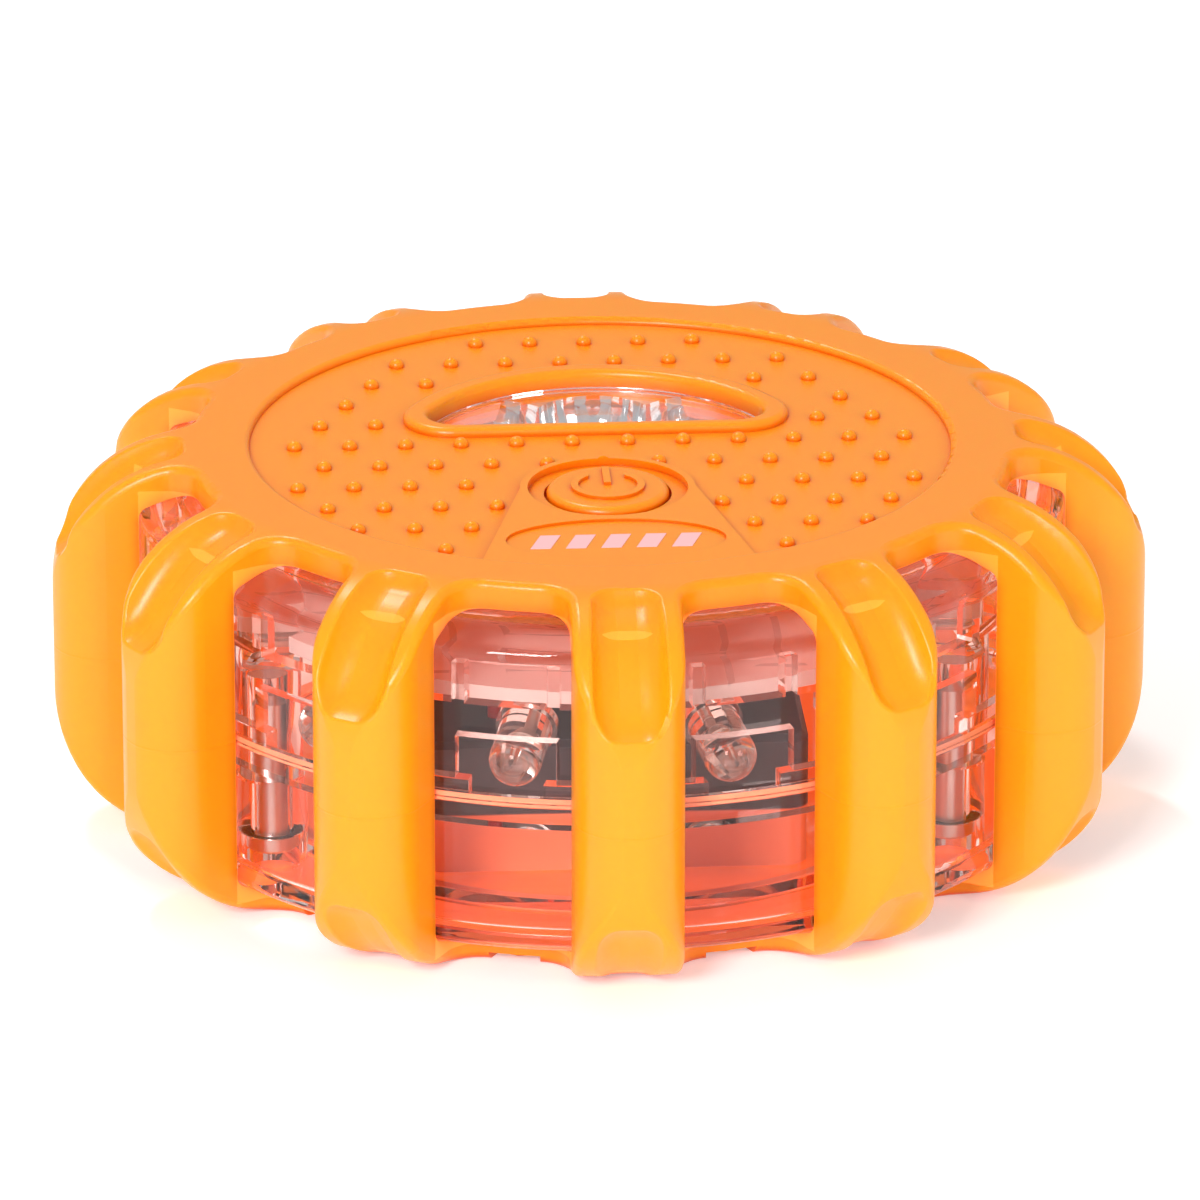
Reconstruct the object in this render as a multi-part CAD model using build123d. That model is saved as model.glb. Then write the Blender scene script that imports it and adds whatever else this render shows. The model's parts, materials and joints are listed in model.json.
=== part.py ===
from build123d import *
import math
import os

# Road flare: a flat round LED beacon in a ribbed rubber jacket.
# Millimetres. Origin at the centre of the rest face, +Z up, button towards -Y, torch window towards +Y.

# Overall
OUTER_RADIUS = 52.5
JACKET_HEIGHT = 38.0
SEAM_Z = 18.2
FIT_GAP = 0.1

# Clear housing
SHELL_RADIUS = 44.4
SHELL_WALL = 1.6
SHOULDER_RADIUS = 39.7
SHOULDER_DROP = 1.9

# Rubber jacket
SKIN_TOP = 2.1
SKIN_BOTTOM = 1.8
RIB_COUNT = 12
RIB_WIDTH = 10.3
RIB_CORNER_RADIUS = 13.6
NOSE_FLAT_DEPTH = 0.05
CREST_OUTER_RADIUS = 0.8
CREST_INNER_RADIUS = 0.35
LIP_RADIUS = 39.3
LIP_CORNER_RADIUS = 3.4
LIP_RELIEF_HEIGHT = 0.8
LIP_RELIEF_GAP = 2.6
DISC_RADIUS = 33.5
DISC_RECESS = 0.7
RING_EDGE_RADIUS = 0.6
BASE_OPENING_RADIUS = 32.8
CAP_RADIUS = (DISC_RADIUS + LIP_RADIUS) / 2

# Scoops at the ends of each rib
SCOOP_WIDTH = 7.1
SCOOP_START_RADIUS = 39.6
SCOOP_START_DEPTH = 1.3
SCOOP_SHOULDER_DEPTH = 3.1
SCOOP_MIDDLE_RADIUS = 48.2
SCOOP_MIDDLE_DEPTH = 6.9
SCOOP_END_RADIUS = 49.8
SCOOP_END_DEPTH = 8.9
SCOOP_EXIT_DEPTH = 10.5
LOWER_SCOOP_LIFT = 1.4
SCOOP_CORNER_RADIUS = 2.6

# Grip dots
DOT_RADIUS = 0.74
DOT_LIFT = 0.1
DOT_PITCH_X = 5.31
DOT_PITCH_Y = 5.57
DOT_FIRST_Y = 0.33

# Torch window
WINDOW_RADIUS = 18.0
WINDOW_CHORD_Y = 4.2
WINDOW_CORNER = 3.0
RIM_WIDTH = 2.3
RIM_CHORD_WIDTH = 1.7
RIM_HEIGHT = 0.9
RIM_EDGE_RADIUS = 0.7
LENS_THICKNESS = 0.9
LENS_RECESS = 1.6
CUP_PITCH = 9.8
CUP_Y = 10.2
CUP_TOP_RADIUS = 6.0
CUP_HOLE_RADIUS = 1.9

# Torch parts
WHITE_LED_RADIUS = 1.5

# Button panel
BUTTON_Y = -13.0
BUTTON_RADIUS = 5.8
BUTTON_TRAVEL = 0.8
BUTTON_GAP = 0.25
BUTTON_RECESS_RADIUS = 7.6
BUTTON_RECESS_DEPTH = 0.7
BUTTON_EDGE_RADIUS = 0.7
BUTTON_FLANGE_RADIUS = 7.0
BUTTON_FLANGE_THICKNESS = 1.0
SYMBOL_RADIUS = 3.5
SYMBOL_LINE = 0.7
SYMBOL_GAP_HALF_WIDTH = 1.7
SYMBOL_BAR_START = 0.4
SYMBOL_BAR_LENGTH = 4.2
SYMBOL_HEIGHT = 0.3
PANEL_RADIUS = 8.3
PANEL_FAR_HALF_WIDTH = 13.4
PANEL_HEIGHT = 0.6
LABEL_LENGTH = 20.6
LABEL_WIDTH = 10.4
LABEL_Y = -26.7
LABEL_DEPTH = 0.25

# Push switch
SWITCH_HALF_WIDTH = 3.0
SWITCH_HEIGHT = 4.2
PLUNGER_RADIUS = 1.7
PLUNGER_REACH = 1.6

# Amber LEDs
LED_COUNT = 12
LED_RADIUS = 2.5
LED_LENGTH = 8.6
LED_FLANGE_RADIUS = 2.9
LED_FLANGE_THICKNESS = 1.0
LED_TIP_RADIUS = 38.3
LED_ABOVE_SEAM = 2.0
LED_TILT = 15.0
LEAD_WIDTH = 0.5
LEAD_SPACING = 2.54

# Liner that frames the LEDs, and the tongue between the shells
LINER_INNER_RADIUS = 41.2
LED_FRAME_WIDTH = 9.5
TONGUE_HEIGHT = 1.35
TONGUE_NOTCH_WIDTH = 7.0
PAD_WIDTH = 1.2
PAD_ANGLE = 6.0

# Circuit board
BOARD_RADIUS = 37.0
BOARD_BOTTOM_Z = SEAM_Z + 7.0
BOARD_THICKNESS = 1.6

# Screws
SHELL_SCREW_COUNT = 6
SHELL_SCREW_CIRCLE = 36.9
SHELL_POST_RADIUS = 3.0
SHELL_POST_JOINT_Z = 12.0
SHELL_SCREW_RADIUS = 1.45
SHELL_SCREW_HEAD_RADIUS = 2.4
SHELL_HEAD_TOP_Z = 6.0
SHELL_HEAD_THICKNESS = 1.6
SHELL_SCREW_TIP_Z = 20.0
BOARD_SCREW_PLACES = ((-24.0, -6.0), (24.0, -6.0), (0.0, 26.0))
BOARD_SCREW_RADIUS = 1.0
BOARD_POST_RADIUS = 2.3
DOOR_SCREW_X = 24.6
DOOR_SCREW_Y = 13.5
DOOR_SCREW_RADIUS = 1.2
DOOR_SCREW_TIP_Z = 9.0
DOOR_HEAD_RADIUS = 2.4
DOOR_HEAD_THICKNESS = 1.0
DOOR_POST_RADIUS = 2.8
SCREW_CLEARANCE = 0.05

# Cells, size AAA
CELL_RADIUS = 5.25
CELL_LENGTH = 44.5
CELL_NUB_RADIUS = 1.9
CELL_NUB_LENGTH = 0.9
CELL_PITCH = 11.2
CELL_Z = 10.95
CELL_CHANNEL_GAP = 0.1
TRAY_INNER_LENGTH = 50.4
TRAY_WALL = 1.5
CONTACT_THICKNESS = 0.4
SPRING_WIRE_RADIUS = 0.35
SPRING_RADIUS = 3.0
SPRING_TURNS = 3.5

# Battery door
DOOR_RADIUS = 32.4
DOOR_LOW_Z = 0.6
DOOR_THICKNESS = 2.0
DOOR_REBATE_RADIUS = 32.7
WELL_HALF_WIDTH = 17.2
WELL_HALF_LENGTH = 25.4
FLOOR_THICKNESS = 1.6
GASKET_INNER_RADIUS = 31.0
GASKET_THICKNESS = 0.3
MAGNET_RADIUS = 5.0
MAGNET_THICKNESS = 1.5
MAGNET_X = 25.4

# Fold-out hook
HOOK_PIVOT_Y = 19.5
HOOK_PIVOT_Z = 2.3
HOOK_HUB_RADIUS = 1.6
HOOK_HUB_HALF_LENGTH = 7.6
HOOK_PIN_RADIUS = 0.75
HOOK_PIN_CLEARANCE = 0.05
HOOK_THICKNESS = 2.4
HOOK_LOOP_Y = -9.5
HOOK_LOOP_OUTER = 8.0
HOOK_LOOP_INNER = 4.6
HOOK_SHANK_WIDTH = 4.4
HOOK_MOUTH = 5.2
HOOK_POCKET_GAP = 0.5
HOOK_SWING_ROOM = 3.4
HOOK_BOX_WALL = 1.1
DOOR_GAP = 0.3

# Levels that follow from the sizes above
SHELL_TOP_Z = JACKET_HEIGHT - DISC_RECESS - SKIN_TOP
SHELL_BOTTOM_Z = SKIN_BOTTOM
DISC_Z = JACKET_HEIGHT - DISC_RECESS
PANEL_Z = DISC_Z + PANEL_HEIGHT
RIM_Z = DISC_Z + RIM_HEIGHT
LENS_TOP_Z = RIM_Z - LENS_RECESS
BOARD_TOP_Z = BOARD_BOTTOM_Z + BOARD_THICKNESS
DOOR_TOP_Z = DOOR_LOW_Z + DOOR_THICKNESS
FLOOR_LOW_Z = DOOR_TOP_Z + GASKET_THICKNESS + FIT_GAP
FLOOR_TOP_Z = FLOOR_LOW_Z + FLOOR_THICKNESS
TRAY_TOP_Z = CELL_Z + CELL_RADIUS + CELL_CHANNEL_GAP + TRAY_WALL
BUTTON_TOP_Z = PANEL_Z
PLUNGER_TOP_Z = BOARD_TOP_Z + SWITCH_HEIGHT + PLUNGER_REACH
LINER_LOW_Z = SEAM_Z + 1.5
LINER_TOP_Z = SEAM_Z + 9.0
LED_FRAME_TOP_Z = SEAM_Z + 5.7
TONGUE_RADIUS = SHELL_RADIUS - SHELL_WALL - FIT_GAP
TONGUE_NOTCH_LOW_Z = SEAM_Z - 0.5
REFLECTOR_TOP_Z = LENS_TOP_Z - LENS_THICKNESS - SCREW_CLEARANCE
REFLECTOR_LOW_Z = BOARD_TOP_Z + 1.4
HOOK_LOW_Z = DOOR_LOW_Z + 0.3
HOOK_ROOF_Z = HOOK_PIVOT_Z + HOOK_HUB_RADIUS + 0.3
HOOK_BOX_TOP_Z = HOOK_ROOF_Z + HOOK_BOX_WALL
RIB_STEP = 360.0 / RIB_COUNT
FIRST_RIB_ANGLE = -90.0
FIRST_LED_ANGLE = FIRST_RIB_ANGLE + RIB_STEP / 2


def cylinder(radius, low, high, x=0.0, y=0.0):
    """Upright cylinder between two heights."""
    return Pos(x, y, low) * Cylinder(radius, high - low, align=(Align.CENTER, Align.CENTER, Align.MIN))


def block(x_low, x_high, y_low, y_high, z_low, z_high):
    """Box between six faces."""
    size = Box(x_high - x_low, y_high - y_low, z_high - z_low, align=(Align.MIN, Align.MIN, Align.MIN))
    return Pos(x_low, y_low, z_low) * size


def ring(outer, inner, low, high):
    """Upright ring between two heights."""
    return cylinder(outer, low, high) - cylinder(inner, low - 1.0, high + 1.0)


def slab(sketch, low, high):
    """Flat outline raised between two heights."""
    return Pos(0, 0, low) * extrude(sketch, amount=high - low)


def around(shape, count, first_angle):
    """Copies of a shape evenly spaced about the Z axis."""
    return [Rot(0, 0, first_angle + 360.0 / count * index) * shape for index in range(count)]


def spun(points, rounded):
    """Solid of revolution about Z from (radius, height) points; rounded maps a point index to a radius.

    It is turned so that its joint line falls clear of a rib that lies along +X.
    """
    outline = make_face(Polyline(*points, close=True))
    for index, radius in rounded.items():
        corner = outline.vertices().sort_by_distance(Vector(points[index][0], points[index][1], 0))[0]
        outline = fillet(corner, radius)
    return Rot(0, 0, RIB_STEP) * revolve(Plane.XZ * outline, Axis.Z)


def housing_volume(growth):
    """Space filled by the two clear shells together, grown outwards by growth."""
    low = SHELL_BOTTOM_Z - growth
    high = SHELL_TOP_Z + growth
    wall = SHELL_RADIUS + growth
    points = [
        (0, low),
        (SHOULDER_RADIUS, low),
        (wall, low + SHOULDER_DROP),
        (wall, high - SHOULDER_DROP),
        (SHOULDER_RADIUS, high),
        (0, high),
    ]
    return spun(points, {1: 3.0, 2: 1.2, 3: 1.2, 4: 3.0})


def d_outline(radius, chord_y, corner):
    """Part of a circle beyond a straight chord, with rounded corners."""
    keep = Pos(0, chord_y) * Rectangle(4 * radius, 4 * radius, align=(Align.CENTER, Align.MIN))
    outline = Circle(radius) & keep
    return fillet(outline.vertices(), corner)


def window_outline(growth):
    """Torch window outline, grown by growth."""
    return d_outline(WINDOW_RADIUS + growth, WINDOW_CHORD_Y - growth, WINDOW_CORNER + growth)


def sector_outline():
    """Outline from above of one rib and its share of the lip, with the rib along +X."""
    reach = OUTER_RADIUS + 5.0
    nose_x = OUTER_RADIUS + NOSE_FLAT_DEPTH - RIB_WIDTH / 2
    half_step = reach * math.tan(math.radians(RIB_STEP / 2))
    rib = Rectangle(nose_x, RIB_WIDTH, align=(Align.MIN, Align.CENTER)) + Pos(nose_x, 0) * Circle(RIB_WIDTH / 2)
    outline = Circle(LIP_RADIUS) + rib
    corners = [v for v in outline.vertices() if abs(math.hypot(v.X, v.Y) - LIP_RADIUS) < 0.01]
    outline = fillet(corners, LIP_CORNER_RADIUS)
    wedge = make_face(Polyline((0, 0), (reach, -half_step), (reach, half_step), close=True))
    return (outline & wedge) - Circle(CAP_RADIUS)


def is_skin_edge(edge):
    """True for edges of a rib's outer skin, but not for its upright corners or the cut sides of its sector."""
    middle = edge @ 0.5
    upright = edge.geom_type == GeomType.LINE and abs((edge @ 0).Z - (edge @ 1).Z) > 1.0
    at_cap = math.hypot(middle.X, middle.Y) < CAP_RADIUS + 0.05
    at_side = abs(math.degrees(math.atan2(middle.Y, middle.X))) > RIB_STEP / 2 - 0.05
    on_nose = middle.X > OUTER_RADIUS - RIB_WIDTH / 4
    return not at_cap and not at_side and (on_nose or not upright)


def depth_in_skin(point):
    """How far a point lies from the jacket's swept outer skin."""
    radius = math.hypot(point.X, point.Y)
    height = abs(point.Z - JACKET_HEIGHT / 2)
    bend_radius = OUTER_RADIUS - RIB_CORNER_RADIUS
    bend_height = JACKET_HEIGHT / 2 - RIB_CORNER_RADIUS
    if radius < bend_radius:
        return abs(height - JACKET_HEIGHT / 2)
    if height < bend_height:
        return abs(radius - OUTER_RADIUS)
    return abs(math.hypot(radius - bend_radius, height - bend_height) - RIB_CORNER_RADIUS)


def is_mouth_edge(edge, low, high):
    """True for the edges between two heights where a scoop breaks through the outer skin."""
    middle = edge @ 0.5
    in_scoop = middle.X > SCOOP_START_RADIUS - 0.2 and abs(middle.Y) < SCOOP_WIDTH / 2 + 0.01
    on_skin = depth_in_skin(middle) < 0.02 and depth_in_skin(edge @ 0) < 0.02
    return in_scoop and on_skin and low < middle.Z < high


def scooped(body, cutter, low, high):
    """Rib with one scoop cut out of it and the scoop's mouth rounded."""
    body -= cutter
    return fillet([e for e in body.edges() if is_mouth_edge(e, low, high)], CREST_INNER_RADIUS)


def rib_sector():
    """One rib with the lips above and below it, scooped out at both ends."""
    bounds = [(0, 0), (OUTER_RADIUS, 0), (OUTER_RADIUS, JACKET_HEIGHT), (0, JACKET_HEIGHT)]
    body = extrude(sector_outline(), amount=JACKET_HEIGHT)
    body &= spun(bounds, {1: RIB_CORNER_RADIUS, 2: RIB_CORNER_RADIUS})
    body = fillet([e for e in body.edges() if is_skin_edge(e)], CREST_OUTER_RADIUS)
    body -= housing_volume(FIT_GAP)
    upper = scoop()
    lower = Pos(0, 0, JACKET_HEIGHT - LOWER_SCOOP_LIFT) * Rot(180, 0, 0) * upper
    middle = JACKET_HEIGHT / 2
    body = scooped(body, upper, middle + 1.0, JACKET_HEIGHT)
    body = scooped(body, lower, 0, middle - 1.0)
    return body - lip_relief()


def lip_relief():
    """Space under the lower lip between one rib and the next, on both sides of a rib that lies along +X."""
    side = RIB_WIDTH / 2 + LIP_RELIEF_GAP
    relief = block(CAP_RADIUS, OUTER_RADIUS, side, OUTER_RADIUS, -1.0, LIP_RELIEF_HEIGHT)
    return relief + block(CAP_RADIUS, OUTER_RADIUS, -OUTER_RADIUS, -side, -1.0, LIP_RELIEF_HEIGHT)


def scoop():
    """Channel cut into the top end of a rib that lies along +X."""
    top = JACKET_HEIGHT
    floor = Spline(
        (SCOOP_START_RADIUS, top - SCOOP_START_DEPTH),
        (SHELL_RADIUS, top - SCOOP_SHOULDER_DEPTH),
        (SCOOP_MIDDLE_RADIUS, top - SCOOP_MIDDLE_DEPTH),
        (SCOOP_END_RADIUS, top - SCOOP_END_DEPTH),
        (OUTER_RADIUS, top - SCOOP_EXIT_DEPTH),
    )
    clear = OUTER_RADIUS + 5.0
    slope = floor % 1
    run_out = (clear, top - SCOOP_EXIT_DEPTH + slope.Y / slope.X * (clear - OUTER_RADIUS))
    roof = Polyline(
        floor @ 1,
        run_out,
        (clear, top + 5.0),
        (SCOOP_START_RADIUS, top + 5.0),
        floor @ 0,
    )
    side = make_face([floor, roof])
    cutter = extrude(Plane.XZ * side, amount=SCOOP_WIDTH / 2, both=True)
    low_edges = [e for e in cutter.edges() if is_scoop_edge(e)]
    return fillet(low_edges, SCOOP_CORNER_RADIUS)


def is_scoop_edge(edge):
    """True for the long floor edges and the edges of the inner end wall."""
    middle = edge @ 0.5
    on_end_wall = abs(middle.X - SCOOP_START_RADIUS) < 0.01 and middle.Z < JACKET_HEIGHT + 4.0
    on_floor = SCOOP_START_RADIUS + 1.0 < middle.X < OUTER_RADIUS + 4.9 and middle.Z < JACKET_HEIGHT
    on_side = abs(abs(middle.Y) - SCOOP_WIDTH / 2) < 0.01
    return on_end_wall or (on_floor and on_side)


def panel_outline():
    """Keystone panel round the button, widening towards the ring."""
    near = BUTTON_Y
    far = -DISC_RADIUS - 1.0
    sides = make_face(
        Polyline(
            (-PANEL_RADIUS, near),
            (PANEL_RADIUS, near),
            (PANEL_FAR_HALF_WIDTH, far),
            (-PANEL_FAR_HALF_WIDTH, far),
            close=True,
        )
    )
    head = Pos(0, BUTTON_Y) * Circle(PANEL_RADIUS)
    return (sides + head) & Circle(DISC_RADIUS + 0.8)


def dot_places():
    """Centres of the grip dots: staggered rows that leave room for the torch window and the panel."""
    half_columns = {
        -5: (0, 2, 4),
        -4: (1, 3, 5, 7),
        -3: (6, 8),
        -2: (9,),
        -1: (8, 10),
        0: (1, 3, 5, 7, 9, 11),
        1: (0, 2, 4, 6, 8, 10),
        2: (5, 7, 9, 11),
        3: (4, 6, 8, 10),
        4: (5, 7, 9),
        5: (6,),
    }
    places = []
    for row, columns in half_columns.items():
        for column in columns:
            x = column * DOT_PITCH_X / 2
            y = DOT_FIRST_Y - row * DOT_PITCH_Y
            places.append((x, y))
            if column:
                places.append((-x, y))
    return places


def jacket_cap():
    """Top skin inside the ribs, with the raised ring's inner edge."""
    low = SHELL_TOP_Z + FIT_GAP
    points = [
        (0, low),
        (CAP_RADIUS, low),
        (CAP_RADIUS, JACKET_HEIGHT),
        (DISC_RADIUS, JACKET_HEIGHT),
        (DISC_RADIUS, DISC_Z),
        (0, DISC_Z),
    ]
    return spun(points, {3: RING_EDGE_RADIUS})


def rubber_jacket():
    """One-piece rubber jacket: top skin, twelve ribs and a lower ring."""
    base_ring = ring(CAP_RADIUS, BASE_OPENING_RADIUS, 0, SHELL_BOTTOM_Z - FIT_GAP)
    body = jacket_cap().fuse(base_ring, *around(rib_sector(), RIB_COUNT, FIRST_RIB_ANGLE))
    rim = slab(rim_outline(), DISC_Z - 0.5, RIM_Z)
    rim = fillet(rim.edges().group_by(Axis.Z)[-1], RIM_EDGE_RADIUS)
    body += slab(panel_outline(), DISC_Z - 0.5, PANEL_Z)
    body += rim
    body = body.fuse(*[Pos(x, y, DISC_Z + DOT_LIFT) * Sphere(DOT_RADIUS) for x, y in dot_places()])
    body -= slab(window_outline(0.0), SHELL_TOP_Z - 1.0, RIM_Z + 1.0)
    body -= cylinder(BUTTON_RECESS_RADIUS, PANEL_Z - BUTTON_RECESS_DEPTH, PANEL_Z + 1.0, 0, BUTTON_Y)
    body -= cylinder(BUTTON_RADIUS + BUTTON_GAP, SHELL_TOP_Z - 1.0, PANEL_Z + 1.0, 0, BUTTON_Y)
    label = Pos(0, LABEL_Y) * Ellipse(LABEL_LENGTH / 2, LABEL_WIDTH / 2)
    return body - slab(label, PANEL_Z - LABEL_DEPTH, PANEL_Z + 1.0)


def rim_outline():
    """Raised rim round the torch window."""
    outer = d_outline(WINDOW_RADIUS + RIM_WIDTH, WINDOW_CHORD_Y - RIM_CHORD_WIDTH, WINDOW_CORNER + RIM_CHORD_WIDTH)
    return outer - window_outline(0.0)


def power_button():
    """Button cap with a flange under the jacket, a stem and a raised power symbol."""
    flange_top = SHELL_TOP_Z - FIT_GAP
    flange_low = flange_top - BUTTON_FLANGE_THICKNESS
    cap = cylinder(BUTTON_RADIUS, flange_low, BUTTON_TOP_Z)
    cap = fillet(cap.edges().sort_by(Axis.Z)[-1], BUTTON_EDGE_RADIUS)
    cap += cylinder(BUTTON_FLANGE_RADIUS, flange_low, flange_top)
    cap += cylinder(PLUNGER_RADIUS, PLUNGER_TOP_Z, flange_low + 0.1)
    cap += slab(power_symbol(), BUTTON_TOP_Z - 0.1, BUTTON_TOP_Z + SYMBOL_HEIGHT)
    return Pos(0, BUTTON_Y, 0) * cap


def power_symbol():
    """Broken ring with a bar through its gap."""
    loop = Circle(SYMBOL_RADIUS) - Circle(SYMBOL_RADIUS - SYMBOL_LINE)
    loop -= Rectangle(2 * SYMBOL_GAP_HALF_WIDTH, 2 * SYMBOL_RADIUS, align=(Align.CENTER, Align.MIN))
    bar = Rectangle(SYMBOL_LINE, SYMBOL_BAR_LENGTH, align=(Align.CENTER, Align.MIN))
    return loop + Pos(0, SYMBOL_BAR_START) * bar


def switch_body():
    """Square push switch on the board, with a hole for its plunger."""
    half = SWITCH_HALF_WIDTH
    case = block(-half, half, BUTTON_Y - half, BUTTON_Y + half, BOARD_TOP_Z, BOARD_TOP_Z + SWITCH_HEIGHT)
    case = chamfer(case.edges().group_by(Axis.Z)[-1], 0.3)
    hole_low = BOARD_TOP_Z + 1.0
    return case - cylinder(PLUNGER_RADIUS + SCREW_CLEARANCE, hole_low, BOARD_TOP_Z + 10.0, 0, BUTTON_Y)


def switch_plunger():
    """Round plunger standing out of the switch."""
    low = BOARD_TOP_Z + 1.0 + BUTTON_TRAVEL + 0.3
    return cylinder(PLUNGER_RADIUS, low, PLUNGER_TOP_Z - SCREW_CLEARANCE, 0, BUTTON_Y)


def shell_screw_places():
    """Places of the screws that join the two shells, each behind a rib."""
    angles = [math.radians(FIRST_RIB_ANGLE + 360.0 / SHELL_SCREW_COUNT * i) for i in range(SHELL_SCREW_COUNT)]
    return [(SHELL_SCREW_CIRCLE * math.cos(a), SHELL_SCREW_CIRCLE * math.sin(a)) for a in angles]


def seal_groove(growth):
    """Ring on the seam, inside the thickness of the wall."""
    middle = SHELL_RADIUS - SHELL_WALL / 2
    return ring(middle + 0.35 + growth, middle - 0.35 - growth, SEAM_Z - 0.45 - growth, SEAM_Z + 0.45 + growth)


def upper_shell():
    """Clear upper half: wall, top plate, LED frames and screw posts."""
    inner_wall = SHELL_RADIUS - SHELL_WALL
    space = housing_volume(-SHELL_WALL)
    body = housing_volume(0.0) & cylinder(OUTER_RADIUS, SEAM_Z, JACKET_HEIGHT)
    body -= space
    liner = ring(inner_wall + 0.2, LINER_INNER_RADIUS, LINER_LOW_Z, LINER_TOP_Z)
    half = LED_FRAME_WIDTH / 2
    frame = block(LINER_INNER_RADIUS - 1.0, inner_wall, -half, half, LINER_LOW_Z - 1.0, LED_FRAME_TOP_Z)
    body += liner - around(frame, LED_COUNT, FIRST_LED_ANGLE)
    pad = block(LINER_INNER_RADIUS, inner_wall + 0.2, -PAD_WIDTH / 2, PAD_WIDTH / 2, LINER_TOP_Z, LINER_TOP_Z + 4.0)
    body += around(pad, LED_COUNT, FIRST_LED_ANGLE - PAD_ANGLE)
    body += around(pad, LED_COUNT, FIRST_LED_ANGLE + PAD_ANGLE)
    plate_low = SHELL_TOP_Z - SHELL_WALL
    for x, y in shell_screw_places():
        body += cylinder(SHELL_POST_RADIUS, SHELL_POST_JOINT_Z, plate_low + 0.3, x, y)
        body -= cylinder(SHELL_SCREW_RADIUS + SCREW_CLEARANCE, SHELL_POST_JOINT_Z - 1.0, BOARD_BOTTOM_Z - 3.0, x, y)
    for x, y in BOARD_SCREW_PLACES:
        body += cylinder(BOARD_POST_RADIUS, BOARD_TOP_Z, plate_low + 0.3, x, y)
        body -= cylinder(BOARD_SCREW_RADIUS + SCREW_CLEARANCE, BOARD_TOP_Z - 1.0, BOARD_TOP_Z + 5.0, x, y)
    body -= slab(window_outline(-0.1), plate_low - 1.0, SHELL_TOP_Z + 1.0)
    body -= cylinder(BUTTON_FLANGE_RADIUS + BUTTON_GAP, plate_low - 1.0, SHELL_TOP_Z + 1.0, 0, BUTTON_Y)
    return body - seal_groove(SCREW_CLEARANCE)


def lower_shell():
    """Clear lower half: wall, floor with the cell opening, tongue and screw posts."""
    inner_wall = SHELL_RADIUS - SHELL_WALL
    body = housing_volume(0.0) & cylinder(OUTER_RADIUS, 0, SEAM_Z)
    body -= housing_volume(-SHELL_WALL)
    body += cylinder(DOOR_REBATE_RADIUS + SHELL_WALL, SHELL_BOTTOM_Z, FLOOR_TOP_Z)
    body -= cylinder(DOOR_REBATE_RADIUS, 0, FLOOR_LOW_Z)
    foot = ring(inner_wall + 0.2, LINER_INNER_RADIUS, SEAM_Z - 3.0, SEAM_Z)
    tongue = ring(TONGUE_RADIUS, LINER_INNER_RADIUS, SEAM_Z - 0.2, SEAM_Z + TONGUE_HEIGHT)
    body += foot
    body += tongue
    half = TONGUE_NOTCH_WIDTH / 2
    notch = block(LINER_INNER_RADIUS - 1.0, TONGUE_RADIUS, -half, half, TONGUE_NOTCH_LOW_Z, SEAM_Z + 5.0)
    body -= around(notch, LED_COUNT, FIRST_LED_ANGLE)
    for x, y in shell_screw_places():
        body += cylinder(SHELL_POST_RADIUS + 0.3, SHELL_BOTTOM_Z + 1.0, SHELL_POST_JOINT_Z - FIT_GAP, x, y)
        body -= cylinder(SHELL_SCREW_RADIUS + 0.2, 0, SEAM_Z, x, y)
        body -= cylinder(SHELL_SCREW_HEAD_RADIUS + 0.2, 0, SHELL_HEAD_TOP_Z, x, y)
    for x, y in door_screw_places():
        body += cylinder(DOOR_POST_RADIUS, FLOOR_LOW_Z, DOOR_SCREW_TIP_Z + 1.0, x, y)
        body -= cylinder(DOOR_SCREW_RADIUS + SCREW_CLEARANCE, 0, DOOR_SCREW_TIP_Z + 0.5, x, y)
    body -= block(
        -WELL_HALF_WIDTH,
        WELL_HALF_WIDTH,
        -WELL_HALF_LENGTH,
        WELL_HALF_LENGTH,
        0,
        FLOOR_TOP_Z + 1.0,
    )
    return body - seal_groove(SCREW_CLEARANCE)


def screw(shank_radius, head_radius, head_low, head_top, tip):
    """Cross-headed screw, head down, point up."""
    body = cylinder(head_radius, head_low, head_top)
    body = chamfer(body.edges().sort_by(Axis.Z)[0], 0.3)
    body += cylinder(shank_radius, head_top - 0.1, tip)
    body = chamfer(body.edges().sort_by(Axis.Z)[-1], shank_radius * 0.5)
    arm = head_radius * 0.62
    depth = (head_top - head_low) * 0.5
    body -= block(-arm, arm, -0.3, 0.3, head_low - 1.0, head_low + depth)
    body -= block(-0.3, 0.3, -arm, arm, head_low - 1.0, head_low + depth)
    return body


def shell_screws():
    """Screws that join the two shells."""
    head_low = SHELL_HEAD_TOP_Z - SHELL_HEAD_THICKNESS
    one = screw(SHELL_SCREW_RADIUS, SHELL_SCREW_HEAD_RADIUS, head_low, SHELL_HEAD_TOP_Z, SHELL_SCREW_TIP_Z)
    return Compound([Pos(x, y, 0) * one for x, y in shell_screw_places()])


def board_screws():
    """Screws that hold the board to the upper shell."""
    one = screw(BOARD_SCREW_RADIUS, 1.9, BOARD_BOTTOM_Z - 1.3, BOARD_BOTTOM_Z, BOARD_TOP_Z + 4.5)
    return Compound([Pos(x, y, 0) * one for x, y in BOARD_SCREW_PLACES])


def door_screw_places():
    """Places of the battery door's screws."""
    return [(sx * DOOR_SCREW_X, sy * DOOR_SCREW_Y) for sx in (-1, 1) for sy in (-1, 1)]


def door_screws():
    """Screws that hold the battery door."""
    head_low = DOOR_LOW_Z + 0.1
    head_top = head_low + DOOR_HEAD_THICKNESS
    one = screw(DOOR_SCREW_RADIUS, DOOR_HEAD_RADIUS, head_low, head_top, DOOR_SCREW_TIP_Z)
    return Compound([Pos(x, y, 0) * one for x, y in door_screw_places()])


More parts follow.
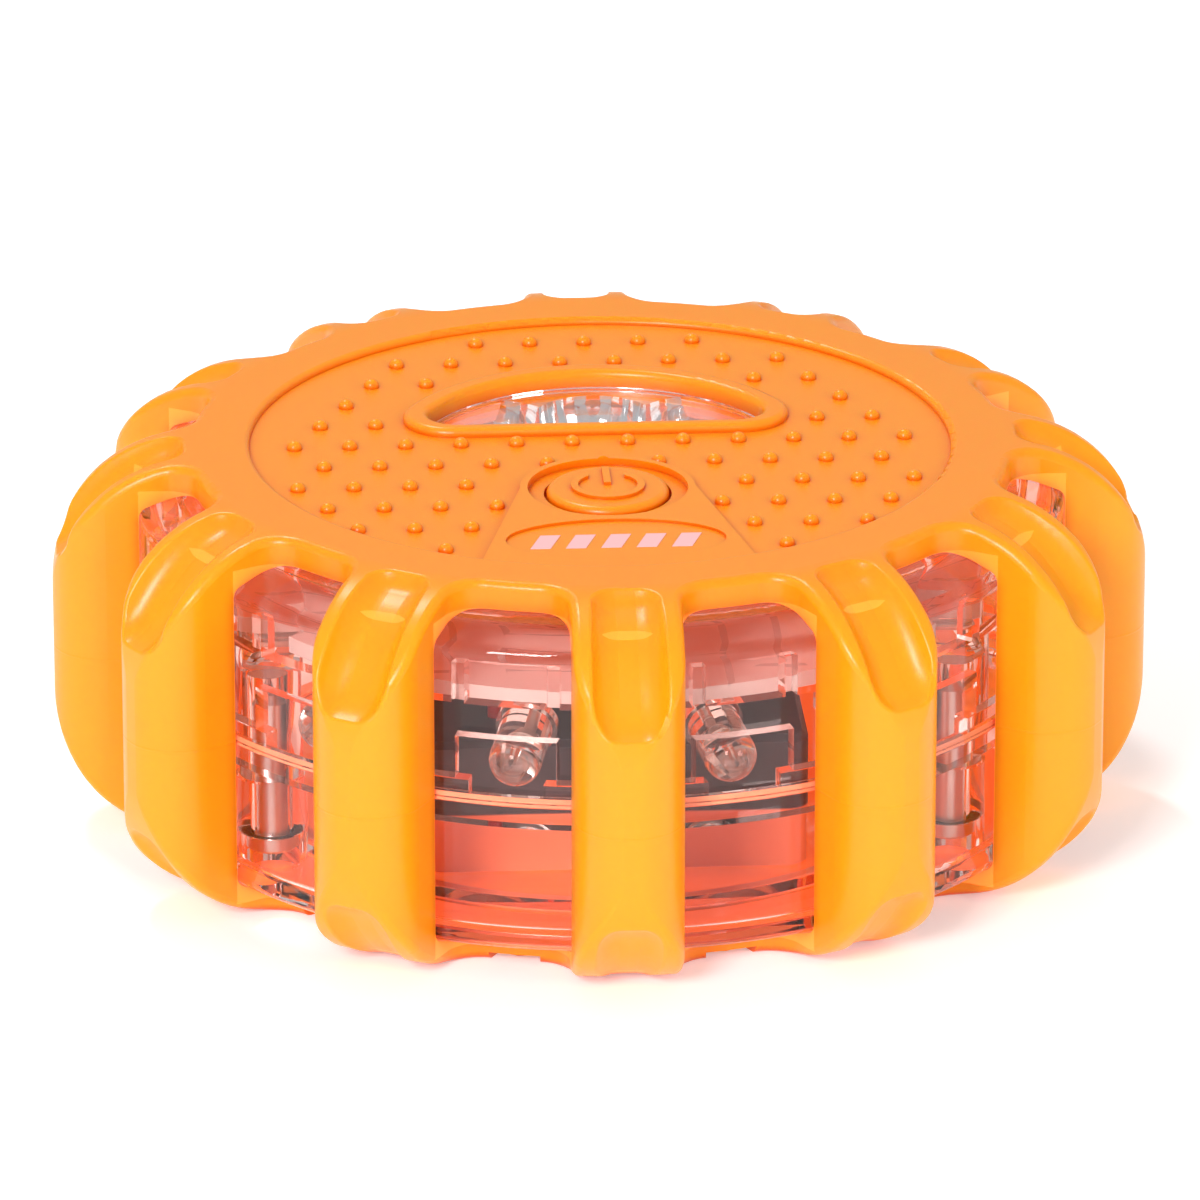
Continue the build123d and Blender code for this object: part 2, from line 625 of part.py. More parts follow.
def main_board():
    """Round board, cut back round the shell posts and drilled for its screws."""
    board = cylinder(BOARD_RADIUS, BOARD_BOTTOM_Z, BOARD_TOP_Z - SCREW_CLEARANCE)
    for x, y in shell_screw_places():
        board -= cylinder(SHELL_POST_RADIUS + 0.3, 0, JACKET_HEIGHT, x, y)
    for x, y in BOARD_SCREW_PLACES:
        board -= cylinder(BOARD_SCREW_RADIUS + 0.2, 0, JACKET_HEIGHT, x, y)
    return board


def led_axis(shape):
    """Places a shape made along +X from the LED's dome centre, at angle zero."""
    return Pos(LED_TIP_RADIUS, 0, SEAM_Z + LED_ABOVE_SEAM) * Rot(0, LED_TILT, 0) * shape


def amber_led():
    """Five millimetre LED along +X: flange, barrel and dome."""
    back = LED_RADIUS - LED_LENGTH
    barrel = Rot(0, 90, 0) * cylinder(LED_RADIUS, back, 0)
    flange = Rot(0, 90, 0) * cylinder(LED_FLANGE_RADIUS, back, back + LED_FLANGE_THICKNESS)
    return led_axis(barrel + Sphere(LED_RADIUS) + flange)


def amber_led_leads():
    """Legs of the LEDs: back out of the flange, then up to the board."""
    back = LED_RADIUS - LED_LENGTH
    half = LEAD_WIDTH / 2
    foot_x = LED_TIP_RADIUS + back * math.cos(math.radians(LED_TILT))
    foot_z = SEAM_Z + LED_ABOVE_SEAM - back * math.sin(math.radians(LED_TILT))
    up_x = foot_x - 1.5
    pair = []
    for side in (-LEAD_SPACING / 2, LEAD_SPACING / 2):
        stub = led_axis(block(back - 2.0, back - SCREW_CLEARANCE, side - half, side + half, -half, half))
        post = block(up_x - half, up_x + half, side - half, side + half, foot_z, BOARD_BOTTOM_Z)
        pair.append(stub + post)
    legs = []
    for leg in pair:
        legs += around(leg, LED_COUNT, FIRST_LED_ANGLE)
    return Compound(legs)


def cup_places():
    """Centres of the three reflector cups."""
    return [(-CUP_PITCH, CUP_Y - 0.8), (0.0, CUP_Y), (CUP_PITCH, CUP_Y - 0.8)]


def torch_reflector():
    """Reflector block with three merged cups."""
    body = slab(window_outline(-0.4), REFLECTOR_LOW_Z, REFLECTOR_TOP_Z)
    for x, y in cup_places():
        body -= Pos(x, y, 0) * reflector_cup()
    return body


def reflector_cup():
    """Dished space of one cup, open above and with a hole for its LED below."""
    floor_z = REFLECTOR_LOW_Z + 0.8
    depth = REFLECTOR_TOP_Z - floor_z
    middle = (CUP_HOLE_RADIUS + 0.62 * (CUP_TOP_RADIUS - CUP_HOLE_RADIUS), floor_z + 0.38 * depth)
    wall = Spline((CUP_HOLE_RADIUS, floor_z), middle, (CUP_TOP_RADIUS, REFLECTOR_TOP_Z))
    rest = Polyline(
        wall @ 1,
        (CUP_TOP_RADIUS, REFLECTOR_TOP_Z + 2.0),
        (0, REFLECTOR_TOP_Z + 2.0),
        (0, REFLECTOR_LOW_Z - 1.0),
        (CUP_HOLE_RADIUS, REFLECTOR_LOW_Z - 1.0),
        wall @ 0,
    )
    return revolve(Plane.XZ * make_face([wall, rest]), Axis.Z)


def torch_lens():
    """Clear cover of the torch window."""
    lens = slab(window_outline(-FIT_GAP), LENS_TOP_Z - LENS_THICKNESS, LENS_TOP_Z)
    return fillet(lens.edges().group_by(Axis.Z)[-1], 0.25)


def white_led(x, y):
    """Three millimetre torch LED standing on the board."""
    dome_z = BOARD_TOP_Z + 3.0
    body = cylinder(WHITE_LED_RADIUS, BOARD_TOP_Z, dome_z, x, y) + Pos(x, y, dome_z) * Sphere(WHITE_LED_RADIUS)
    return body + cylinder(WHITE_LED_RADIUS + 0.3, BOARD_TOP_Z, BOARD_TOP_Z + 0.8, x, y)


def control_chip():
    """Eight-legged driver chip under the board."""
    top = BOARD_BOTTOM_Z - SCREW_CLEARANCE
    body = block(-2.5, 2.5, 8.0, 12.0, top - 1.7, top - 0.2)
    for index in range(4):
        x = -1.9 + 1.27 * index
        body += block(x - 0.2, x + 0.2, 7.0, 13.0, top - 0.5, top)
    return body


def resistors():
    """Row of chip resistors under the board."""
    top = BOARD_BOTTOM_Z - SCREW_CLEARANCE
    return Compound([block(x - 0.8, x + 0.8, 16.0, 19.2, top - 0.6, top) for x in (-6.0, -2.0, 2.0, 6.0)])


def cell_columns():
    """Sideways place and pointing direction of each cell, in series order."""
    return [(-CELL_PITCH, 1), (0.0, -1), (CELL_PITCH, 1)]


def along_y(radius, start, end, x, z):
    """Cylinder along Y between two ends."""
    return Pos(x, start, z) * Rot(-90, 0, 0) * cylinder(radius, 0, end - start)


def battery_tray():
    """Black tray, open downwards, with a round-topped channel for each cell."""
    half_length = TRAY_INNER_LENGTH / 2 + TRAY_WALL
    channel_radius = CELL_RADIUS + CELL_CHANNEL_GAP
    half_width = CELL_PITCH + channel_radius + TRAY_WALL
    low = FLOOR_TOP_Z + SCREW_CLEARANCE
    tray = block(-half_width, half_width, -half_length, half_length, low, TRAY_TOP_Z)
    tray = fillet(tray.edges().filter_by(Axis.Z), 2.0)
    tray = chamfer(tray.edges().group_by(Axis.Z)[-1], 0.6)
    half_inner = TRAY_INNER_LENGTH / 2
    for x, _ in cell_columns():
        tray -= along_y(channel_radius, -half_inner, half_inner, x, CELL_Z)
        tray -= block(x - channel_radius, x + channel_radius, -half_inner, half_inner, low - 1.0, CELL_Z)
    inner_width = CELL_PITCH + channel_radius
    return tray - block(-inner_width, inner_width, -half_inner, half_inner, low - 1.0, HOOK_BOX_TOP_Z + DOOR_GAP)


def cell_start():
    """Distance from the tray's middle to the cell's nub tip."""
    return TRAY_INNER_LENGTH / 2 - CONTACT_THICKNESS - 2 * SCREW_CLEARANCE


def battery(x, facing):
    """AAA cell along Y with its nub towards facing."""
    tip = cell_start()
    shoulder = tip - CELL_NUB_LENGTH
    can = along_y(CELL_RADIUS, tip - CELL_LENGTH, shoulder, 0, 0)
    can = fillet(can.edges(), 0.5)
    can += along_y(CELL_NUB_RADIUS, shoulder - 0.2, tip, 0, 0)
    if facing < 0:
        can = Rot(0, 0, 180) * can
    return Pos(x, 0, CELL_Z) * can


def contact_plate(x, facing):
    """Plate that the cell's nub touches."""
    outer = TRAY_INNER_LENGTH / 2 - SCREW_CLEARANCE
    plate = block(-3.8, 3.8, outer - CONTACT_THICKNESS, outer, -4.4, 3.2)
    if facing < 0:
        plate = Rot(0, 0, 180) * plate
    return Pos(x, 0, CELL_Z) * plate


def contact_spring(x, facing):
    """Coil spring and its plate at the flat end of the cell."""
    outer = TRAY_INNER_LENGTH / 2 - SCREW_CLEARANCE
    cell_end = CELL_LENGTH - cell_start() + SCREW_CLEARANCE
    low = -outer + CONTACT_THICKNESS + SPRING_WIRE_RADIUS - 0.1
    high = -cell_end - SPRING_WIRE_RADIUS
    travel = high - low
    coil_path = Helix(travel / SPRING_TURNS, travel, SPRING_RADIUS)
    wire = Plane(coil_path @ 0, z_dir=coil_path % 0) * Circle(SPRING_WIRE_RADIUS)
    coil = Pos(0, low, 0) * Rot(-90, 0, 0) * sweep(wire, coil_path)
    plate = block(-3.8, 3.8, -outer, -outer + CONTACT_THICKNESS, -4.4, 3.8)
    spring = plate + coil
    if facing < 0:
        spring = Rot(0, 0, 180) * spring
    return Pos(x, 0, CELL_Z) * spring


def supply_wire(side):
    """Insulated wire from the tray's top up to the board."""
    x = side * 11.0
    low = TRAY_TOP_Z + SCREW_CLEARANCE
    return cylinder(0.7, low, BOARD_BOTTOM_Z - SCREW_CLEARANCE, x, -20.0)


def door_gasket():
    """Flat seal on the battery door's rim."""
    return ring(DOOR_RADIUS - 0.2, GASKET_INNER_RADIUS, DOOR_TOP_Z, DOOR_TOP_Z + GASKET_THICKNESS)


def battery_door():
    """Round door with a pocket for the hook, seats for the magnets and screw holes."""
    door = cylinder(DOOR_RADIUS, DOOR_LOW_Z, DOOR_TOP_Z)
    door = fillet(door.edges().sort_by(Axis.Z)[0], 0.4)
    half_width = HOOK_LOOP_OUTER + HOOK_POCKET_GAP
    near = HOOK_LOOP_Y - HOOK_LOOP_OUTER - HOOK_POCKET_GAP
    far = HOOK_PIVOT_Y + HOOK_SWING_ROOM
    wall = HOOK_BOX_WALL
    door += block(
        -half_width - wall,
        half_width + wall,
        near - wall,
        far + wall,
        DOOR_LOW_Z + 0.5,
        HOOK_BOX_TOP_Z,
    )
    door -= block(-half_width, half_width, near, far, 0, HOOK_ROOF_Z)
    door -= cylinder(3.6, 0, DOOR_LOW_Z + 1.1, 0, near)
    pin_half = pin_half_length() + SCREW_CLEARANCE
    door -= along_x(HOOK_PIN_RADIUS + 0.01, -pin_half, pin_half, HOOK_PIVOT_Y, HOOK_PIVOT_Z)
    for side in (-1, 1):
        roof = DOOR_LOW_Z + 0.1 + MAGNET_THICKNESS + SCREW_CLEARANCE
        door -= cylinder(MAGNET_RADIUS + SCREW_CLEARANCE, 0, roof, side * MAGNET_X, 0)
    for x, y in door_screw_places():
        door -= cylinder(DOOR_SCREW_RADIUS + 0.2, 0, DOOR_TOP_Z + 1.0, x, y)
        door -= cylinder(DOOR_HEAD_RADIUS + 0.2, 0, DOOR_LOW_Z + 0.1 + DOOR_HEAD_THICKNESS, x, y)
    return door


def along_x(radius, start, end, y, z):
    """Cylinder along X between two ends."""
    return Pos(start, y, z) * Rot(0, 90, 0) * cylinder(radius, 0, end - start)


def pin_half_length():
    """Half the hook pin's length: across the pocket and into both of its walls."""
    return HOOK_LOOP_OUTER + HOOK_POCKET_GAP + HOOK_BOX_WALL * 0.7


def hook_pin():
    """Steel pin that the hook turns on."""
    return along_x(HOOK_PIN_RADIUS, -pin_half_length(), pin_half_length(), HOOK_PIVOT_Y, HOOK_PIVOT_Z)


def hook():
    """Hook lying in the door's pocket: hub, shank and open loop."""
    top = HOOK_LOW_Z + HOOK_THICKNESS
    loop = Pos(0, HOOK_LOOP_Y) * (Circle(HOOK_LOOP_OUTER) - Circle(HOOK_LOOP_INNER))
    mouth = Pos(HOOK_SHANK_WIDTH / 2, HOOK_LOOP_Y + HOOK_LOOP_INNER * 0.2)
    loop -= mouth * Rectangle(HOOK_LOOP_OUTER, HOOK_MOUTH, align=(Align.MIN, Align.MIN))
    shank_low = HOOK_LOOP_Y + HOOK_LOOP_INNER + 0.4
    shank = Pos(0, shank_low) * Rectangle(
        HOOK_SHANK_WIDTH, HOOK_PIVOT_Y - shank_low, align=(Align.CENTER, Align.MIN)
    )
    arm = slab(loop + shank, HOOK_LOW_Z, top)
    hub = along_x(HOOK_HUB_RADIUS, -HOOK_HUB_HALF_LENGTH, HOOK_HUB_HALF_LENGTH, HOOK_PIVOT_Y, HOOK_PIVOT_Z)
    bore = along_x(
        HOOK_PIN_RADIUS + HOOK_PIN_CLEARANCE,
        -HOOK_HUB_HALF_LENGTH - 1.0,
        HOOK_HUB_HALF_LENGTH + 1.0,
        HOOK_PIVOT_Y,
        HOOK_PIVOT_Z,
    )
    return arm + hub - bore


def magnet(side):
    """Round magnet set in the battery door."""
    low = DOOR_LOW_Z + 0.1
    body = cylinder(MAGNET_RADIUS, low, low + MAGNET_THICKNESS, side * MAGNET_X, 0)
    return chamfer(body.edges().filter_by(GeomType.CIRCLE), 0.2)


def pieces():
    """Every piece by name."""
    named = {
        "rubber_jacket": rubber_jacket(),
        "power_button": power_button(),
        "switch_body": switch_body(),
        "switch_plunger": switch_plunger(),
        "upper_shell": upper_shell(),
        "lower_shell": lower_shell(),
        "shell_seal": seal_groove(0.0),
        "shell_screws": shell_screws(),
        "main_board": main_board(),
        "board_screws": board_screws(),
        "amber_led_leads": amber_led_leads(),
        "torch_reflector": torch_reflector(),
        "torch_lens": torch_lens(),
        "control_chip": control_chip(),
        "resistors": resistors(),
        "battery_tray": battery_tray(),
        "supply_wire_positive": supply_wire(-1),
        "supply_wire_negative": supply_wire(1),
        "battery_door": battery_door(),
        "door_gasket": door_gasket(),
        "door_screws": door_screws(),
        "magnet_1": magnet(-1),
        "magnet_2": magnet(1),
        "hook": hook(),
        "hook_pin": hook_pin(),
    }
    for number, led in enumerate(around(amber_led(), LED_COUNT, FIRST_LED_ANGLE), start=1):
        named[f"amber_led_{number:02d}"] = led
    for number, (x, y) in enumerate(cup_places(), start=1):
        named[f"white_led_{number}"] = white_led(x, y)
    for number, (x, facing) in enumerate(cell_columns(), start=1):
        named[f"battery_{number}"] = battery(x, facing)
        named[f"contact_plate_{number}"] = contact_plate(x, facing)
        named[f"contact_spring_{number}"] = contact_spring(x, facing)
    return named


def main():
    os.makedirs("parts", exist_ok=True)
    for name, shape in pieces().items():
        export_step(shape, f"parts/{name}.step")


if __name__ == "__main__":
    main()
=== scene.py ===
import json
import math

import bmesh
import bpy
from mathutils import Matrix, Vector

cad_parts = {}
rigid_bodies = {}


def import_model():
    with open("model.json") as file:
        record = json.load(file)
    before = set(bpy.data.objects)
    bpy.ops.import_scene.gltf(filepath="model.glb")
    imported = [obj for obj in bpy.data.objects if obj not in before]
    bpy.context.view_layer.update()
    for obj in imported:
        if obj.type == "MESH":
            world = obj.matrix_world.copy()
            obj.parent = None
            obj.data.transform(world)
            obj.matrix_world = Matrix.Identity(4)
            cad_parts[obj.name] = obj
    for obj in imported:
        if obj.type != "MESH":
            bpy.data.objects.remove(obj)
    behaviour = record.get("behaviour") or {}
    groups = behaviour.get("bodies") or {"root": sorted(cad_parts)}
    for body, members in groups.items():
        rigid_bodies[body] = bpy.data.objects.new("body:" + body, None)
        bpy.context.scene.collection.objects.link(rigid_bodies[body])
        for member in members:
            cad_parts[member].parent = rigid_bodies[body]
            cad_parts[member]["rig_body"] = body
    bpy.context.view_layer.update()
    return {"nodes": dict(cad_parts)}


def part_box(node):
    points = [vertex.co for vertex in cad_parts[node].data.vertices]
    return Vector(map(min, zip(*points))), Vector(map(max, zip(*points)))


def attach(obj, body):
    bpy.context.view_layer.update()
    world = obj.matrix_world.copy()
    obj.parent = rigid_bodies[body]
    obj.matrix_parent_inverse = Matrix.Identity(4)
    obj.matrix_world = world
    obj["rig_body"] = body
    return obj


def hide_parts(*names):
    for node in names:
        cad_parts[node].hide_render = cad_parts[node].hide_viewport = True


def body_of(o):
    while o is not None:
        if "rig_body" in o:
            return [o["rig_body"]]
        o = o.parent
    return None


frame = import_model()

bl_info = {
    "name": "Road Flare",
    "version": (1, 0, 0),
    "blender": (4, 5, 0),
    "location": "3D View > Sidebar > Road Flare",
    "description": "Dresses the LED road flare: rubber, clear housing, lamps, base and stage",
    "category": "Object",
}

MM = 0.001
SEAM_HEIGHT = 18.2 * MM
SHELL_LOW, SHELL_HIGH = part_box("lower_shell")[0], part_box("upper_shell")[1]
SHELL_REACH = SHELL_HIGH.x + 0.15 * MM
MIDDLE_HEIGHT = (SHELL_LOW.z + SHELL_HIGH.z) / 2
SHELL_HALF_HEIGHT = (SHELL_HIGH.z - SHELL_LOW.z) / 2 + 0.15 * MM
LED_NODES = [f"amber_led_{number:02d}" for number in range(1, 13)]
WHITE_LED_NODES = [f"white_led_{number}" for number in range(1, 4)]
CELL_NODES = [f"battery_{number}" for number in range(1, 4)]
BLACK = (0.0, 0.0, 0.0)
TRAY_SPLIT_HEIGHT = 10.5 * MM
DOOR_INNER_DEPTH = 3.0 * MM
OVAL_DISTANCE = 13.7 * MM
FLOOR_DROP = 0.05 * MM
LAST_BENT_RAY = 5.5
LIGHT_TARGET = (0, 0, 0.02)


# ---------------------------------------------------------------- settings


class RubberSettings(bpy.types.PropertyGroup):
    """Colours and grain of the orange rubber."""

    colour: bpy.props.FloatVectorProperty(
        name="Rubber colour", description="Colour of the ribs", subtype="COLOR", size=3, default=(0.98, 0.335, 0.003)
    )
    # Painted shade: the cap's colour is redder and darker than the ribs', standing in for less light falling on the
    # top.
    deep_colour: bpy.props.FloatVectorProperty(
        name="Deep colour",
        description="Richer tone of the thick cap",
        subtype="COLOR",
        size=3,
        default=(0.98, 0.29, 0.004),
    )
    # Painted glow: the inner faces of the rubber emit this colour, standing in for daylight that comes through the
    # rubber.
    painted_glow: bpy.props.FloatVectorProperty(
        name="Glow",
        description="Daylight that comes through to the inner faces",
        subtype="COLOR",
        size=3,
        default=(0.62, 0.13, 0.035),
    )
    roughness: bpy.props.FloatProperty(
        name="Roughness", description="How matt the moulded rubber is", default=0.32, min=0.0, max=1.0
    )
    # Painted shade: the next two settings mix a deeper orange into tight corners, where shade falls, over the given
    # reach.
    corner_shade_colour: bpy.props.FloatVectorProperty(
        name="Hollow colour", description="Tone in tight corners", subtype="COLOR", size=3, default=(0.72, 0.105, 0.0)
    )
    corner_shade_reach: bpy.props.FloatProperty(
        name="Hollow reach", description="How far a corner's deeper tone reaches", default=1.4 * MM, unit="LENGTH"
    )
    grain_size: bpy.props.FloatProperty(
        name="Grain size", description="Width of the moulding grain", default=0.35 * MM, unit="LENGTH"
    )


class HousingSettings(bpy.types.PropertyGroup):
    """Tint and polish of the clear parts."""

    # Painted light: the pink tint stands in for orange light bounced round inside from the rubber, seen through the
    # clear shells.
    tint: bpy.props.FloatVectorProperty(
        name="Housing tint", description="Colour of the clear shells", subtype="COLOR", size=3, default=(1.0, 0.8, 0.76)
    )
    roughness: bpy.props.FloatProperty(
        name="Housing roughness", description="Haze of the clear shells", default=0.02, min=0.0, max=1.0
    )
    refraction: bpy.props.FloatProperty(
        name="Refraction", description="Bend of light in the thin walls", default=1.18, min=1.0, max=2.0
    )
    shadow: bpy.props.FloatProperty(
        name="Shadow strength", description="How much light the clear parts hold back", default=0.12, min=0.0, max=1.0
    )


class LampSettings(bpy.types.PropertyGroup):
    """Sizes of the parts inside each LED."""

    tilt: bpy.props.FloatProperty(
        name="LED tilt", description="Downward lean of each LED", subtype="ANGLE", default=math.radians(15.0)
    )
    cup_radius: bpy.props.FloatProperty(
        name="Cup radius", description="Radius of the reflector cup in an LED", default=1.05 * MM, unit="LENGTH"
    )
    post_width: bpy.props.FloatProperty(
        name="Post width", description="Width of the lead frame's posts", default=0.55 * MM, unit="LENGTH"
    )


class LabelSettings(bpy.types.PropertyGroup):
    """Printed stripes in the oval beside the button."""

    colour: bpy.props.FloatVectorProperty(
        name="Print colour", description="Colour of the stripes", subtype="COLOR", size=3, default=(1.0, 0.5, 0.5)
    )
    stripe_width: bpy.props.FloatProperty(
        name="Stripe width", description="Width of one stripe", default=1.9 * MM, unit="LENGTH"
    )
    stripe_length: bpy.props.FloatProperty(
        name="Stripe length", description="Length of one stripe", default=3.4 * MM, unit="LENGTH"
    )
    stripe_pitch: bpy.props.FloatProperty(
        name="Stripe pitch", description="Distance between stripes", default=3.3 * MM, unit="LENGTH"
    )
    below_symbol: bpy.props.FloatProperty(
        name="Depth below symbol",
        description="From the symbol's top to the oval's floor",
        default=0.55 * MM,
        unit="LENGTH",
    )
    stripe_count: bpy.props.IntProperty(
        name="Stripe count", description="How many stripes are printed", default=5, min=1
    )


class StageSettings(bpy.types.PropertyGroup):
    """Floor, lights and camera."""

    floor_colour: bpy.props.FloatVectorProperty(
        name="Floor colour", description="Colour of the floor", subtype="COLOR", size=3, default=(0.95, 0.95, 0.95)
    )
    lens: bpy.props.FloatProperty(name="Lens", description="Focal length in millimetres", default=314.0)
    distance: bpy.props.FloatProperty(
        name="Camera distance", description="From the aim point", default=1.006, unit="LENGTH"
    )
    elevation: bpy.props.FloatProperty(
        name="Elevation", description="Camera angle above the floor", subtype="ANGLE", default=math.radians(21.4)
    )
    azimuth: bpy.props.FloatProperty(
        name="Azimuth", description="Camera angle round the flare", subtype="ANGLE", default=math.radians(-3.25)
    )
    aim_height: bpy.props.FloatProperty(
        name="Aim height", description="Height of the aim point", default=21.3 * MM, unit="LENGTH"
    )


# ---------------------------------------------------------------- node helpers


def new_group(name, inputs, outputs):
    """Empty shader node group with named sockets; inputs and outputs are (name, socket type, default)."""
    group = bpy.data.node_groups.new(name, "ShaderNodeTree")
    for label, kind, default in inputs:
        socket = group.interface.new_socket(name=label, in_out="INPUT", socket_type=kind)
        if default is not None:
            socket.default_value = default
    for label, kind in outputs:
        group.interface.new_socket(name=label, in_out="OUTPUT", socket_type=kind)
    group.nodes.new("NodeGroupInput")
    group.nodes.new("NodeGroupOutput")
    return group


def group_ends(group):
    """Input and output nodes of a group."""
    ends = {node.bl_idname: node for node in group.nodes}
    return ends["NodeGroupInput"], ends["NodeGroupOutput"]


def math_node(tree, operation, first, second=None, clamp=False):
    """Math node whose inputs are sockets or numbers; returns its output."""
    node = tree.nodes.new("ShaderNodeMath")
    node.operation = operation
    node.use_clamp = clamp
    for index, value in enumerate((first, second)):
        if value is None:
            continue
        if isinstance(value, (int, float)):
            node.inputs[index].default_value = value
        else:
            tree.links.new(value, node.inputs[index])
    return node.outputs[0]


def noise_node(tree, vector, scale, detail=3.0):
    """Noise texture; scale is a socket or a number."""
    node = tree.nodes.new("ShaderNodeTexNoise")
    node.inputs["Detail"].default_value = detail
    tree.links.new(vector, node.inputs["Vector"])
    if isinstance(scale, (int, float)):
        node.inputs["Scale"].default_value = scale
    else:
        tree.links.new(scale, node.inputs["Scale"])
    return node.outputs["Fac"]


def mix_colours(tree, factor, first, second):
    """Colour mix; each colour is a socket or an RGB value."""
    node = tree.nodes.new("ShaderNodeMix")
    node.data_type = "RGBA"
    tree.links.new(factor, node.inputs["Factor"])
    for name, value in (("A", first), ("B", second)):
        socket = [s for s in node.inputs if s.name == name and s.type == "RGBA"][0]
        if isinstance(value, bpy.types.NodeSocket):
            tree.links.new(value, socket)
        else:
            socket.default_value = (*value[:3], 1.0)
    return [s for s in node.outputs if s.type == "RGBA"][0]


def remap(tree, value, low, high, to_low=0.0, to_high=1.0):
    """Map Range node; returns its output."""
    node = tree.nodes.new("ShaderNodeMapRange")
    tree.links.new(value, node.inputs["Value"])
    node.inputs["From Min"].default_value = low
    node.inputs["From Max"].default_value = high
    node.inputs["To Min"].default_value = to_low
    node.inputs["To Max"].default_value = to_high
    return node.outputs["Result"]


def surface_grain_group():
    """Moulded surface: mottled mask, varied roughness and fine height."""
    group = bpy.data.node_groups.get("Moulded Surface")
    if group:
        return group
    group = new_group(
        "Moulded Surface",
        [
            ("Vector", "NodeSocketVector", None),
            ("Grain Scale", "NodeSocketFloat", 2500.0),
            ("Mottle Scale", "NodeSocketFloat", 90.0),
            ("Roughness", "NodeSocketFloat", 0.4),
            ("Variation", "NodeSocketFloat", 0.1),
        ],
        [("Mottle", "NodeSocketFloat"), ("Roughness", "NodeSocketFloat"), ("Height", "NodeSocketFloat")],
    )
    start, end = group_ends(group)
    vector = start.outputs["Vector"]
    grain = noise_node(group, vector, start.outputs["Grain Scale"], 2.0)
    mottle = noise_node(group, vector, start.outputs["Mottle Scale"], 4.0)
    wipe = noise_node(group, vector, math_node(group, "MULTIPLY", start.outputs["Mottle Scale"], 0.33), 2.0)
    centred = math_node(group, "SUBTRACT", math_node(group, "ADD", mottle, wipe), 1.0)
    spread = math_node(group, "MULTIPLY", centred, start.outputs["Variation"])
    rough = math_node(group, "ADD", start.outputs["Roughness"], spread, clamp=True)
    height = math_node(group, "ADD", grain, math_node(group, "MULTIPLY", mottle, 0.6))
    group.links.new(remap(group, mottle, 0.35, 0.65), end.inputs["Mottle"])
    group.links.new(rough, end.inputs["Roughness"])
    group.links.new(height, end.inputs["Height"])
    return group


def scratch_group():
    """Fine handling scratches and smudges for hard glossy surfaces."""
    group = bpy.data.node_groups.get("Handling Marks")
    if group:
        return group
    group = new_group(
        "Handling Marks",
        [
            ("Vector", "NodeSocketVector", None),
            ("Roughness", "NodeSocketFloat", 0.1),
            ("Smudge", "NodeSocketFloat", 0.08),
            ("Scale", "NodeSocketFloat", 60.0),
        ],
        [("Roughness", "NodeSocketFloat"), ("Height", "NodeSocketFloat"), ("Mask", "NodeSocketFloat")],
    )
    start, end = group_ends(group)
    smudge = remap(group, noise_node(group, start.outputs["Vector"], start.outputs["Scale"], 3.0), 0.42, 0.68)
    stretched = group.nodes.new("ShaderNodeMapping")
    stretched.inputs["Rotation"].default_value = (0.4, 0.9, 0.3)
    stretched.inputs["Scale"].default_value = (1.0, 18.0, 1.0)
    group.links.new(start.outputs["Vector"], stretched.inputs["Vector"])
    line_scale = math_node(group, "MULTIPLY", start.outputs["Scale"], 3.0)
    lines = remap(group, noise_node(group, stretched.outputs[0], line_scale, 1.0), 0.66, 0.72)
    amount = math_node(group, "MULTIPLY", smudge, start.outputs["Smudge"])
    total = math_node(group, "ADD", amount, math_node(group, "MULTIPLY", lines, start.outputs["Smudge"]))
    group.links.new(math_node(group, "ADD", start.outputs["Roughness"], total), end.inputs["Roughness"])
    group.links.new(lines, end.inputs["Height"])
    group.links.new(smudge, end.inputs["Mask"])
    return group


def place_group(tree, group, coordinates, values):
    """Group node in a material with its own values."""
    node = tree.nodes.new("ShaderNodeGroup")
    node.node_tree = group
    tree.links.new(coordinates, node.inputs["Vector"])
    for name, value in values.items():
        node.inputs[name].default_value = value
    return node


def new_material(name):
    """Material with its node tree, Principled BSDF and Object coordinates."""
    material = bpy.data.materials.new(name)
    material.use_nodes = True
    tree = material.node_tree
    shader = [n for n in tree.nodes if n.bl_idname == "ShaderNodeBsdfPrincipled"][0]
    coordinates = tree.nodes.new("ShaderNodeTexCoord").outputs["Object"]
    return material, tree, shader, coordinates


def split_axes(tree, coordinates):
    """X, Y and Z outputs of a point."""
    split = tree.nodes.new("ShaderNodeSeparateXYZ")
    tree.links.new(coordinates, split.inputs[0])
    return split.outputs


def add_bump(tree, shader, height, strength, distance):
    """Bump node between a height and the shader's normal."""
    bump = tree.nodes.new("ShaderNodeBump")
    bump.inputs["Strength"].default_value = strength
    bump.inputs["Distance"].default_value = distance
    tree.links.new(height, bump.inputs["Height"])
    tree.links.new(bump.outputs["Normal"], shader.inputs["Normal"])


# ---------------------------------------------------------------- materials


def moulded_material(name, colour, deep_colour, roughness, grain_scale, mottle_scale, bump, variation=0.1):
    """Moulded plastic or rubber with mottled colour, varied sheen and fine grain."""
    material, tree, shader, coordinates = new_material(name)
    values = {
        "Grain Scale": grain_scale,
        "Mottle Scale": mottle_scale,
        "Roughness": roughness,
        "Variation": variation,
    }
    surface = place_group(tree, surface_grain_group(), coordinates, values)
    blend = mix_colours(tree, surface.outputs["Mottle"], colour, deep_colour)
    tree.links.new(blend, shader.inputs["Base Color"])
    tree.links.new(surface.outputs["Roughness"], shader.inputs["Roughness"])
    add_bump(tree, shader, surface.outputs["Height"], bump, 0.02 * MM)
    return material, tree, shader, coordinates, surface


